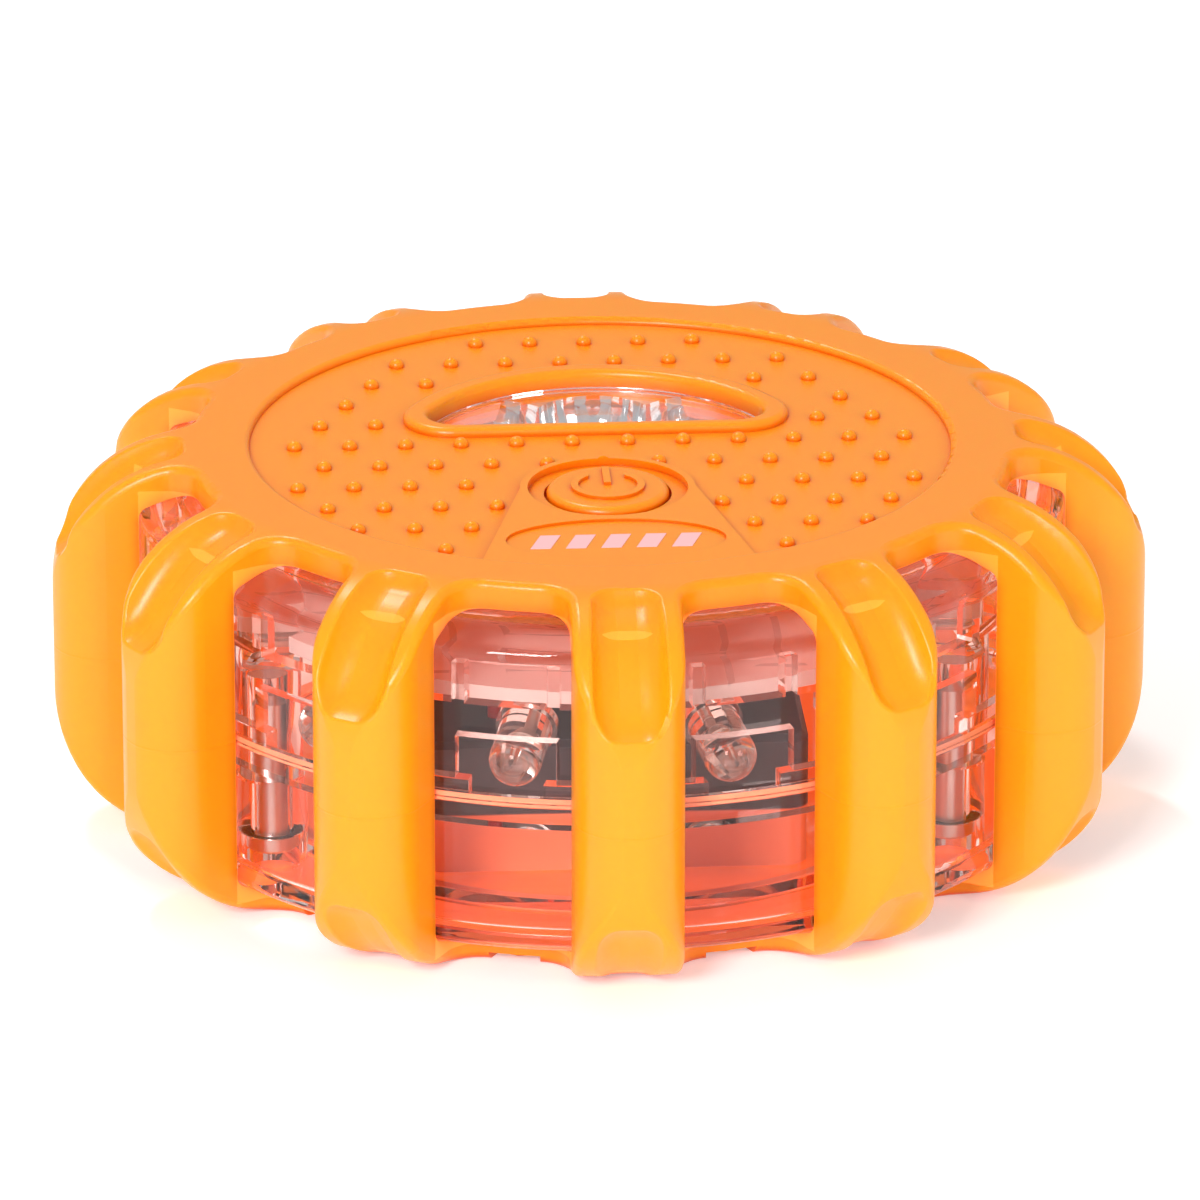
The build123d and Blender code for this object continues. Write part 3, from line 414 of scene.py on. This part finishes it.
def rubber_material(settings):
    """Orange rubber with painted shade: redder and darker on the cap, yellower and lighter out on the ribs, with a
    faint parting line round the ribs.
    """
    material, tree, shader, coordinates = new_material("Orange Rubber")
    values = {
        "Grain Scale": 1.0 / settings.grain_size,
        "Mottle Scale": 120.0,
        "Roughness": settings.roughness,
        "Variation": 0.08,
    }
    surface = place_group(tree, surface_grain_group(), coordinates, values)
    axes = split_axes(tree, coordinates)
    squares = [math_node(tree, "POWER", axes[axis], 2.0) for axis in ("X", "Y")]
    radius = math_node(tree, "SQRT", math_node(tree, "ADD", *squares))
    # Painted shade: the cap is mixed towards the redder, darker colour and the outer ribs towards the yellower, lighter
    # one, standing in for light from the front.
    lighter_outwards = remap(tree, radius, 39.0 * MM, 49.0 * MM)
    wavy = math_node(tree, "MULTIPLY", math_node(tree, "SUBTRACT", surface.outputs["Mottle"], 0.5), 0.12)
    blend = mix_colours(tree, math_node(tree, "ADD", lighter_outwards, wavy, clamp=True), settings.deep_colour, settings.colour)
    # Painted shade: an ambient-occlusion mask mixes a deeper orange into corners, creases and the bases of the dots.
    corner_shade_ao = tree.nodes.new("ShaderNodeAmbientOcclusion")
    corner_shade_ao.samples = 6
    corner_shade_ao.inputs["Distance"].default_value = settings.corner_shade_reach
    unshaded_part = remap(tree, corner_shade_ao.outputs["AO"], 0.45, 0.92)
    tree.links.new(mix_colours(tree, unshaded_part, settings.corner_shade_colour, blend), shader.inputs["Base Color"])
    tree.links.new(surface.outputs["Roughness"], shader.inputs["Roughness"])
    offset = math_node(tree, "ABSOLUTE", math_node(tree, "SUBTRACT", axes["Z"], SEAM_HEIGHT))
    line = remap(tree, offset, 0.04 * MM, 0.14 * MM, 1.0, 0.0)
    ridge = math_node(tree, "MULTIPLY", line, math_node(tree, "GREATER_THAN", radius, 43.5 * MM))
    height = math_node(tree, "ADD", surface.outputs["Height"], math_node(tree, "MULTIPLY", ridge, 8.0))
    add_bump(tree, shader, height, 0.25, 0.02 * MM)
    # Painted glow: faces inside the shell's reach emit an orange light, standing in for daylight that comes through the
    # rubber.
    level = math_node(tree, "ABSOLUTE", math_node(tree, "SUBTRACT", axes["Z"], MIDDLE_HEIGHT))
    inside = math_node(
        tree,
        "MULTIPLY",
        math_node(tree, "LESS_THAN", radius, SHELL_REACH),
        math_node(tree, "LESS_THAN", level, SHELL_HALF_HEIGHT),
    )
    tree.links.new(mix_colours(tree, inside, BLACK, settings.painted_glow), shader.inputs["Emission Color"])
    shader.inputs["Emission Strength"].default_value = 1.0
    shader.inputs["Specular IOR Level"].default_value = 0.42
    shader.inputs["Subsurface Weight"].default_value = 0.5
    shader.inputs["Subsurface Radius"].default_value = (1.0, 0.3, 0.04)
    shader.inputs["Subsurface Scale"].default_value = 0.7 * MM
    return material


def clear_material(name, tint, roughness, refraction, shadow):
    """Clear moulded plastic that lets light through to what it covers."""
    material, tree, shader, coordinates = new_material(name)
    marks = place_group(tree, scratch_group(), coordinates, {"Roughness": roughness, "Smudge": 0.02, "Scale": 45.0})
    tree.links.new(marks.outputs["Roughness"], shader.inputs["Roughness"])
    cloudy = [channel * 0.985 for channel in tint]
    tree.links.new(mix_colours(tree, marks.outputs["Mask"], tint, cloudy), shader.inputs["Base Color"])
    shader.inputs["Transmission Weight"].default_value = 1.0
    shader.inputs["IOR"].default_value = refraction
    shader.inputs["Coat Weight"].default_value = 0.6
    shader.inputs["Coat Roughness"].default_value = 0.02
    shader.inputs["Coat IOR"].default_value = 1.42
    path = tree.nodes.new("ShaderNodeLightPath")
    let_by = math_node(tree, "MULTIPLY", path.outputs["Is Shadow Ray"], 1.0 - shadow)
    trapped = math_node(tree, "GREATER_THAN", path.outputs["Ray Depth"], LAST_BENT_RAY)
    passed = math_node(tree, "MAXIMUM", let_by, trapped)
    tree.links.new(math_node(tree, "SUBTRACT", 1.0, passed), shader.inputs["Alpha"])
    add_bump(tree, shader, marks.outputs["Height"], 0.05, 0.01 * MM)
    return material


def metal_material(name, colour, roughness, smudge=0.08):
    """Plated metal with smudges and hairline scratches."""
    material, tree, shader, coordinates = new_material(name)
    marks = place_group(
        tree, scratch_group(), coordinates, {"Roughness": roughness, "Smudge": smudge, "Scale": 140.0}
    )
    dull = [channel * 0.86 for channel in colour]
    tree.links.new(mix_colours(tree, marks.outputs["Mask"], colour, dull), shader.inputs["Base Color"])
    tree.links.new(marks.outputs["Roughness"], shader.inputs["Roughness"])
    shader.inputs["Metallic"].default_value = 1.0
    add_bump(tree, shader, marks.outputs["Height"], 0.08, 0.01 * MM)
    return material


def board_material():
    """White solder resist with copper tracks showing faintly through it."""
    material, tree, shader, coordinates = new_material("Circuit Board")
    axes = split_axes(tree, coordinates)
    tracks = []
    for axis, pitch in (("X", 2.54 * MM), ("Y", 3.1 * MM)):
        phase = math_node(tree, "PINGPONG", axes[axis], pitch)
        tracks.append(remap(tree, phase, 0.3 * MM, 0.38 * MM, 1.0, 0.0))
    zones = remap(tree, noise_node(tree, coordinates, 90.0, 0.0), 0.48, 0.5)
    along = math_node(tree, "MULTIPLY", tracks[0], zones)
    across = math_node(tree, "MULTIPLY", tracks[1], math_node(tree, "SUBTRACT", 1.0, zones))
    mask = math_node(tree, "ADD", along, across, clamp=True)
    tree.links.new(mix_colours(tree, mask, (0.62, 0.58, 0.56), (0.5, 0.47, 0.45)), shader.inputs["Base Color"])
    tree.links.new(remap(tree, mask, 0.0, 1.0, 0.32, 0.22), shader.inputs["Roughness"])
    add_bump(tree, shader, mask, 0.4, 0.03 * MM)
    return material


def tray_material():
    """Black tray whose lower part is moulded in orange."""
    material, tree, shader, coordinates, surface = moulded_material(
        "Two-shot Tray", (0.03, 0.026, 0.032), (0.04, 0.035, 0.042), 0.42, 2600.0, 160.0, 0.3
    )
    axes = split_axes(tree, coordinates)
    lower = remap(tree, axes["Z"], TRAY_SPLIT_HEIGHT - 0.1 * MM, TRAY_SPLIT_HEIGHT + 0.1 * MM, 1.0, 0.0)
    black = mix_colours(tree, surface.outputs["Mottle"], (0.03, 0.026, 0.032), (0.045, 0.038, 0.046))
    tree.links.new(mix_colours(tree, lower, black, (0.8, 0.22, 0.09)), shader.inputs["Base Color"])
    return material


def cell_material(low, high):
    """Printed sleeve with bare metal at both ends of the cell."""
    material, tree, shader, coordinates = new_material("Cell Sleeve")
    axes = split_axes(tree, coordinates)
    along = axes["Y"]
    length = high - low
    end_distance = math_node(
        tree,
        "MINIMUM",
        math_node(tree, "SUBTRACT", along, low),
        math_node(tree, "SUBTRACT", high, along),
    )
    bare = remap(tree, end_distance, 1.3 * MM, 1.4 * MM, 1.0, 0.0)
    band = remap(tree, math_node(tree, "SUBTRACT", along, low), length * 0.68, length * 0.69)
    marks = place_group(tree, scratch_group(), coordinates, {"Roughness": 0.22, "Smudge": 0.1, "Scale": 120.0})
    sleeve = mix_colours(tree, band, (0.03, 0.05, 0.1), (0.62, 0.33, 0.07))
    worn = mix_colours(tree, bare, sleeve, (0.62, 0.61, 0.58))
    tree.links.new(worn, shader.inputs["Base Color"])
    tree.links.new(bare, shader.inputs["Metallic"])
    tree.links.new(marks.outputs["Roughness"], shader.inputs["Roughness"])
    return material


def floor_material(colour):
    """Pale seamless floor with the faintest unevenness."""
    material, tree, shader, coordinates = new_material("Pale Floor")
    soft = noise_node(tree, coordinates, 6.0, 2.0)
    shade = [channel * 0.995 for channel in colour]
    tree.links.new(mix_colours(tree, soft, colour, shade), shader.inputs["Base Color"])
    tree.links.new(remap(tree, soft, 0.0, 1.0, 0.75, 0.85), shader.inputs["Roughness"])
    shader.inputs["Specular IOR Level"].default_value = 0.2
    tree.links.new(mix_colours(tree, soft, (0.3, 0.3, 0.3), (0.29, 0.29, 0.29)), shader.inputs["Emission Color"])
    shader.inputs["Emission Strength"].default_value = 1.0
    return material


def dress(node, material):
    """Gives one CAD node or piece its material, leaving its shape alone."""
    piece = frame["nodes"][node] if isinstance(node, str) else node
    piece.data.materials.clear()
    piece.data.materials.append(material)
    return piece


# ---------------------------------------------------------------- modelling helpers


def clear_selection():
    """Nothing selected, object mode."""
    if bpy.context.object and bpy.context.object.mode != "OBJECT":
        bpy.ops.object.mode_set(mode="OBJECT")
    bpy.ops.object.select_all(action="DESELECT")


def make_active(piece):
    """Selects one piece and makes it active."""
    clear_selection()
    piece.select_set(True)
    bpy.context.view_layer.objects.active = piece


def settle(piece, name):
    """Names a finished piece and moves its place into its mesh."""
    make_active(piece)
    bpy.ops.object.transform_apply(location=True, rotation=True, scale=True)
    piece.name = name
    piece.data.name = name
    return piece


def select_faces(piece, test):
    """In edit mode, selects the faces whose centre and normal pass a test."""
    bpy.ops.mesh.select_mode(type="FACE")
    bpy.ops.mesh.select_all(action="DESELECT")
    shape = bmesh.from_edit_mesh(piece.data)
    for face in shape.faces:
        face.select_set(bool(test(face.calc_center_median(), face.normal)))
    shape.select_flush(True)
    bmesh.update_edit_mesh(piece.data)


def copy_piece(piece, name):
    """Copy of a piece with its own mesh."""
    twin = piece.copy()
    twin.data = piece.data.copy()
    twin.name = name
    twin.data.name = name
    bpy.context.scene.collection.objects.link(twin)
    return twin


def finish_with(piece, kind, label, **values):
    """Adds a modifier with these values and applies it."""
    make_active(piece)
    modifier = piece.modifiers.new(label, kind)
    for key, value in values.items():
        setattr(modifier, key, value)
    bpy.ops.object.modifier_apply(modifier=modifier.name)


def softened(node, name, width, segments=2, angle=35.0):
    """Merged copy of a CAD node with its sharp edges rounded; it stands for the node."""
    source = frame["nodes"][node]
    body = body_of(source)[0]
    twin = source.copy()
    twin.data = source.data.copy()
    for key in list(twin.keys()):
        if key.startswith("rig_"):
            del twin[key]
    twin.parent = None
    bpy.context.scene.collection.objects.link(twin)
    make_active(twin)
    bpy.ops.object.mode_set(mode="EDIT")
    bpy.ops.mesh.select_all(action="SELECT")
    bpy.ops.mesh.remove_doubles(threshold=0.0005 * MM)
    bpy.ops.mesh.dissolve_limited(angle_limit=math.radians(1.0))
    bpy.ops.object.mode_set(mode="OBJECT")
    finish_with(
        twin,
        "BEVEL",
        "Soft Edges",
        width=width,
        segments=segments,
        limit_method="ANGLE",
        angle_limit=math.radians(angle),
        harden_normals=False,
    )
    bpy.ops.object.shade_smooth_by_angle(angle=math.radians(40.0))
    settle(twin, name)
    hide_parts(node)
    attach(twin, body)
    return twin


# ---------------------------------------------------------------- operators


class ROADFLARE_OT_rubber(bpy.types.Operator):
    """Dresses the jacket and the button in orange rubber"""

    bl_idname = "roadflare.rubber"
    bl_label = "Rubber Jacket"

    def execute(self, context):
        rubber = rubber_material(context.scene.roadflare_rubber)
        dress("rubber_jacket", rubber)
        dress("power_button", rubber)
        return {"FINISHED"}


class ROADFLARE_OT_housing(bpy.types.Operator):
    """Dresses the clear shells and the seal between them"""

    bl_idname = "roadflare.housing"
    bl_label = "Clear Housing"

    def execute(self, context):
        settings = context.scene.roadflare_housing
        # The shells' pink tint is painted light: orange light bounced round inside from the rubber.
        clear = clear_material(
            "Clear Polycarbonate", settings.tint, settings.roughness, settings.refraction, settings.shadow
        )
        dress("upper_shell", clear)
        dress("lower_shell", clear)
        seal = moulded_material("Seal Silicone", (0.95, 0.38, 0.2), (0.9, 0.33, 0.17), 0.4, 3000.0, 200.0, 0.1)[0]
        dress("shell_seal", seal)
        return {"FINISHED"}


class ROADFLARE_OT_amber_leds(bpy.types.Operator):
    """Dresses the LEDs and sets a lead frame with its reflector cup inside each one"""

    bl_idname = "roadflare.amber_leds"
    bl_label = "Amber LEDs"

    def execute(self, context):
        settings = context.scene.roadflare_lamps
        epoxy = clear_material("LED Epoxy", (1.0, 0.99, 0.98), 0.02, 1.48, 0.1)
        frame_metal = metal_material("Lead Frame", (0.8, 0.78, 0.75), 0.25)
        core = self.model_core(settings)
        core.data.materials.append(frame_metal)
        for number, node in enumerate(LED_NODES, start=1):
            dress(node, epoxy)
            low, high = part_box(node)
            middle = (low + high) / 2
            turn = math.atan2(middle.y, middle.x)
            twin = copy_piece(core, f"led_frame_{number:02d}")
            leaning = Matrix.Rotation(turn, 4, "Z") @ Matrix.Rotation(settings.tilt, 4, "Y")
            twin.data.transform(Matrix.Translation(middle) @ leaning)
            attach(twin, "housing")
        bpy.data.objects.remove(core)
        dress("amber_led_leads", frame_metal)
        return {"FINISHED"}

    @staticmethod
    def model_core(settings):
        """Lead frame of one LED along +X: two posts, one ending in an open cup."""
        clear_selection()
        bpy.ops.mesh.primitive_cone_add(
            vertices=24, radius1=settings.cup_radius * 0.55, radius2=settings.cup_radius, depth=1.1 * MM
        )
        cup = bpy.context.object
        bpy.ops.object.mode_set(mode="EDIT")
        select_faces(cup, lambda centre, normal: normal.z > 0.9)
        bpy.ops.mesh.inset(thickness=settings.cup_radius * 0.14)
        bpy.ops.mesh.extrude_region_move(TRANSFORM_OT_translate={"value": (0, 0, -0.7 * MM)})
        bpy.ops.transform.resize(value=(0.6, 0.6, 1.0))
        select_faces(cup, lambda centre, normal: normal.z < -0.9)
        bpy.ops.mesh.inset(thickness=settings.cup_radius * 0.22)
        bpy.ops.mesh.extrude_region_move(TRANSFORM_OT_translate={"value": (0, 0, -3.4 * MM)})
        bpy.ops.object.mode_set(mode="OBJECT")
        bpy.ops.mesh.primitive_cube_add(size=1.0, location=(0, 1.27 * MM, -1.9 * MM))
        post = bpy.context.object
        post.scale = (settings.post_width, settings.post_width, 4.2 * MM)
        bpy.ops.object.transform_apply(location=True, rotation=True, scale=True)
        bpy.ops.object.mode_set(mode="EDIT")
        select_faces(post, lambda centre, normal: normal.z > 0.9)
        bpy.ops.mesh.extrude_region_move(TRANSFORM_OT_translate={"value": (0, -0.35 * MM, 0.8 * MM)})
        bpy.ops.transform.resize(value=(1.0, 1.9, 1.0))
        bpy.ops.mesh.select_all(action="SELECT")
        bpy.ops.mesh.bevel(offset=0.06 * MM, segments=1)
        bpy.ops.object.mode_set(mode="OBJECT")
        clear_selection()
        cup.select_set(True)
        post.select_set(True)
        bpy.context.view_layer.objects.active = cup
        bpy.ops.object.join()
        cup.data.transform(Matrix.Rotation(math.radians(90.0), 4, "Y"))
        bpy.ops.object.shade_smooth_by_angle(angle=math.radians(40.0))
        return settle(cup, "led_frame")


class ROADFLARE_OT_torch(bpy.types.Operator):
    """Dresses the torch reflector, its lens and its three LEDs"""

    bl_idname = "roadflare.torch"
    bl_label = "Torch"

    def execute(self, context):
        chrome = metal_material("Chrome Cups", (0.98, 0.98, 1.0), 0.04, 0.04)
        dress("torch_reflector", chrome)
        clear = clear_material("Torch Lens Acrylic", (1.0, 1.0, 1.0), 0.01, 1.45, 0.05)
        dress("torch_lens", clear)
        epoxy = clear_material("Torch LED Epoxy", (1.0, 0.98, 0.93), 0.05, 1.48, 0.1)
        for node in WHITE_LED_NODES:
            dress(node, epoxy)
        return {"FINISHED"}


class ROADFLARE_OT_label(bpy.types.Operator):
    """Prints a row of plain hazard stripes in the oval beside the button"""

    bl_idname = "roadflare.label"
    bl_label = "Label Stripes"

    def execute(self, context):
        settings = context.scene.roadflare_label
        button_low, button_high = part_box("power_button")
        across = (button_low.y + button_high.y) / 2 - OVAL_DISTANCE
        height = button_high.z - settings.below_symbol
        ink = moulded_material("Label Ink", settings.colour, settings.colour, 0.45, 4000.0, 300.0, 0.1)[0]
        clear_selection()
        bpy.ops.mesh.primitive_cube_add(size=1.0)
        stripe = bpy.context.object
        stripe.scale = (settings.stripe_width, settings.stripe_length, 0.06 * MM)
        stripe.location = (0.0, across, height + 0.02 * MM)
        bpy.ops.object.transform_apply(location=True, rotation=True, scale=True)
        bpy.ops.object.mode_set(mode="EDIT")
        select_faces(stripe, lambda centre, normal: normal.y > 0.9)
        bpy.ops.transform.translate(value=(1.1 * MM, 0, 0))
        select_faces(stripe, lambda centre, normal: normal.z > 0.9)
        bpy.ops.mesh.bevel(offset=0.02 * MM, segments=1)
        bpy.ops.object.mode_set(mode="OBJECT")
        stripe.data.materials.append(ink)
        settle(stripe, "label_stripe")
        middle = (settings.stripe_count - 1) / 2
        for index in range(settings.stripe_count):
            twin = copy_piece(stripe, f"label_stripe_{index + 1}")
            twin.data.transform(Matrix.Translation(((index - middle) * settings.stripe_pitch - 0.55 * MM, 0, 0)))
            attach(twin, "housing")
        bpy.data.objects.remove(stripe)
        return {"FINISHED"}


class ROADFLARE_OT_electronics(bpy.types.Operator):
    """Dresses the board and what stands on it"""

    bl_idname = "roadflare.electronics"
    bl_label = "Electronics"

    def execute(self, context):
        dress("main_board", board_material())
        black = moulded_material("Chip Epoxy", (0.02, 0.02, 0.021), (0.03, 0.03, 0.03), 0.5, 3500.0, 300.0, 0.3)[0]
        for node in ("control_chip", "resistors", "switch_body"):
            dress(node, black)
        tray = moulded_material("Tray ABS", (0.018, 0.017, 0.02), (0.026, 0.025, 0.028), 0.42, 2600.0, 160.0, 0.3)[0]
        dress("battery_tray", tray_material())
        dress("switch_plunger", tray)
        red = moulded_material("Red Insulation", (0.6, 0.03, 0.02), (0.5, 0.02, 0.02), 0.35, 3000.0, 200.0, 0.1)[0]
        dress("supply_wire_positive", red)
        dark = moulded_material("Black Insulation", (0.02, 0.02, 0.02), (0.03, 0.03, 0.03), 0.35, 3000.0, 200.0, 0.1)[0]
        dress("supply_wire_negative", dark)
        return {"FINISHED"}


class ROADFLARE_OT_cells(bpy.types.Operator):
    """Dresses the cells and their contacts"""

    bl_idname = "roadflare.cells"
    bl_label = "Cells"

    def execute(self, context):
        low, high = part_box(CELL_NODES[0])
        sleeve = cell_material(low.y, high.y)
        for node in CELL_NODES:
            dress(node, sleeve)
        nickel = metal_material("Nickel Plate", (0.72, 0.7, 0.66), 0.22)
        for number in range(1, 4):
            dress(f"contact_plate_{number}", nickel)
            dress(f"contact_spring_{number}", nickel)
        return {"FINISHED"}


class ROADFLARE_OT_base(bpy.types.Operator):
    """Softens and dresses the battery door, hook, magnets and screws"""

    bl_idname = "roadflare.base"
    bl_label = "Base"

    def execute(self, context):
        orange = moulded_material("Door ABS", (0.9, 0.24, 0.012), (0.84, 0.2, 0.01), 0.45, 1600.0, 120.0, 0.6)[0]
        # Painted glow: the door's inner face emits an orange light.
        self.paint_inner_glow(orange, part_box("battery_door")[1].z)
        dress("battery_door", orange)
        dress("door_gasket", bpy.data.materials["Seal Silicone"])
        nylon = moulded_material("Hook Nylon", (0.035, 0.035, 0.038), (0.05, 0.05, 0.052), 0.36, 2600.0, 160.0, 0.3)[0]
        dress(softened("hook", "hook_moulded", 0.35 * MM, 3), nylon)
        steel = metal_material("Zinc Steel", (0.62, 0.63, 0.65), 0.3, 0.12)
        for node in ("door_screws", "shell_screws", "board_screws", "hook_pin"):
            dress(node, steel)
        nickel = metal_material("Magnet Nickel", (0.78, 0.77, 0.74), 0.18)
        for node in ("magnet_1", "magnet_2"):
            dress(node, nickel)
        return {"FINISHED"}

    @staticmethod
    def paint_inner_glow(material, top):
        """Painted glow on the door's inner face, standing in for daylight that comes through the door."""
        tree = material.node_tree
        shader = [n for n in tree.nodes if n.bl_idname == "ShaderNodeBsdfPrincipled"][0]
        coordinates = [n for n in tree.nodes if n.bl_idname == "ShaderNodeTexCoord"][0].outputs["Object"]
        axes = split_axes(tree, coordinates)
        inner = remap(tree, axes["Z"], top - DOOR_INNER_DEPTH, top - DOOR_INNER_DEPTH + 0.1 * MM)
        painted_glow = bpy.context.scene.roadflare_rubber.painted_glow
        tree.links.new(mix_colours(tree, inner, BLACK, painted_glow), shader.inputs["Emission Color"])
        shader.inputs["Emission Strength"].default_value = 0.8


class ROADFLARE_OT_stage(bpy.types.Operator):
    """Builds the floor, the lights and the camera"""

    bl_idname = "roadflare.stage"
    bl_label = "Stage"

    def execute(self, context):
        settings = context.scene.roadflare_stage
        clear_selection()
        bpy.ops.mesh.primitive_plane_add(size=8.0, location=(0, 0, -FLOOR_DROP))
        floor = bpy.context.object
        floor.name = "pale_floor"
        floor.data.materials.append(floor_material(settings.floor_colour))
        self.area_light("key_softbox", (-0.4, -0.95, 0.6), LIGHT_TARGET, 0.3, 9.5)
        self.area_light("top_softbox", (-0.25, 0.45, 0.95), LIGHT_TARGET, 0.14, 3.0)
        fill = self.area_light("side_fill", (0.75, -0.8, 0.45), LIGHT_TARGET, 0.4, 3.0)
        fill.visible_glossy = False
        world = bpy.data.worlds.new("Studio White")
        world.use_nodes = True
        background = [n for n in world.node_tree.nodes if n.bl_idname == "ShaderNodeBackground"][0]
        background.inputs["Color"].default_value = (1.0, 1.0, 1.0, 1.0)
        background.inputs["Strength"].default_value = 0.5
        context.scene.world = world
        context.scene.view_settings.view_transform = "Standard"
        aim = Vector((0, 0, settings.aim_height))
        level = math.cos(settings.elevation)
        back = Vector(
            (
                math.sin(settings.azimuth) * level,
                -math.cos(settings.azimuth) * level,
                math.sin(settings.elevation),
            )
        )
        camera_data = bpy.data.cameras.new("studio_camera")
        camera_data.lens = settings.lens
        camera_data.sensor_width = 36.0
        camera = bpy.data.objects.new("studio_camera", camera_data)
        context.scene.collection.objects.link(camera)
        camera.location = aim + back * settings.distance
        camera.rotation_mode = "QUATERNION"
        camera.rotation_quaternion = (-back).to_track_quat("-Z", "Y")
        context.scene.camera = camera
        return {"FINISHED"}

    @staticmethod
    def area_light(name, place, target, size, power):
        """Square softbox aimed at a point."""
        bpy.ops.object.light_add(type="AREA", location=place)
        light = bpy.context.object
        light.name = name
        light.data.size = size
        light.data.energy = power
        light.rotation_mode = "QUATERNION"
        light.rotation_quaternion = (Vector(target) - Vector(place)).to_track_quat("-Z", "Y")
        return light


class ROADFLARE_PT_panel(bpy.types.Panel):
    """Lists the flare's build steps"""

    bl_idname = "ROADFLARE_PT_panel"
    bl_label = "Road Flare"
    bl_space_type = "VIEW_3D"
    bl_region_type = "UI"
    bl_category = "Road Flare"

    def draw(self, context):
        for operator in STEPS:
            self.layout.operator(operator.bl_idname)
        for name, _ in SETTINGS:
            box = self.layout.box()
            group = getattr(context.scene, name)
            for key in group.__annotations__:
                box.prop(group, key)


STEPS = (
    ROADFLARE_OT_rubber,
    ROADFLARE_OT_housing,
    ROADFLARE_OT_amber_leds,
    ROADFLARE_OT_torch,
    ROADFLARE_OT_label,
    ROADFLARE_OT_electronics,
    ROADFLARE_OT_cells,
    ROADFLARE_OT_base,
    ROADFLARE_OT_stage,
)
SETTINGS = (
    ("roadflare_rubber", RubberSettings),
    ("roadflare_housing", HousingSettings),
    ("roadflare_lamps", LampSettings),
    ("roadflare_label", LabelSettings),
    ("roadflare_stage", StageSettings),
)


def register():
    for name, group in SETTINGS:
        bpy.utils.register_class(group)
        setattr(bpy.types.Scene, name, bpy.props.PointerProperty(type=group))
    for operator in STEPS:
        bpy.utils.register_class(operator)
    bpy.utils.register_class(ROADFLARE_PT_panel)


def unregister():
    bpy.utils.unregister_class(ROADFLARE_PT_panel)
    for operator in reversed(STEPS):
        bpy.utils.unregister_class(operator)
    for name, group in reversed(SETTINGS):
        delattr(bpy.types.Scene, name)
        bpy.utils.unregister_class(group)


def main():
    register()
    bpy.ops.roadflare.rubber()
    bpy.ops.roadflare.housing()
    bpy.ops.roadflare.amber_leds()
    bpy.ops.roadflare.torch()
    bpy.ops.roadflare.label()
    bpy.ops.roadflare.electronics()
    bpy.ops.roadflare.cells()
    bpy.ops.roadflare.base()
    bpy.ops.roadflare.stage()


if __name__ == "__main__":
    main()
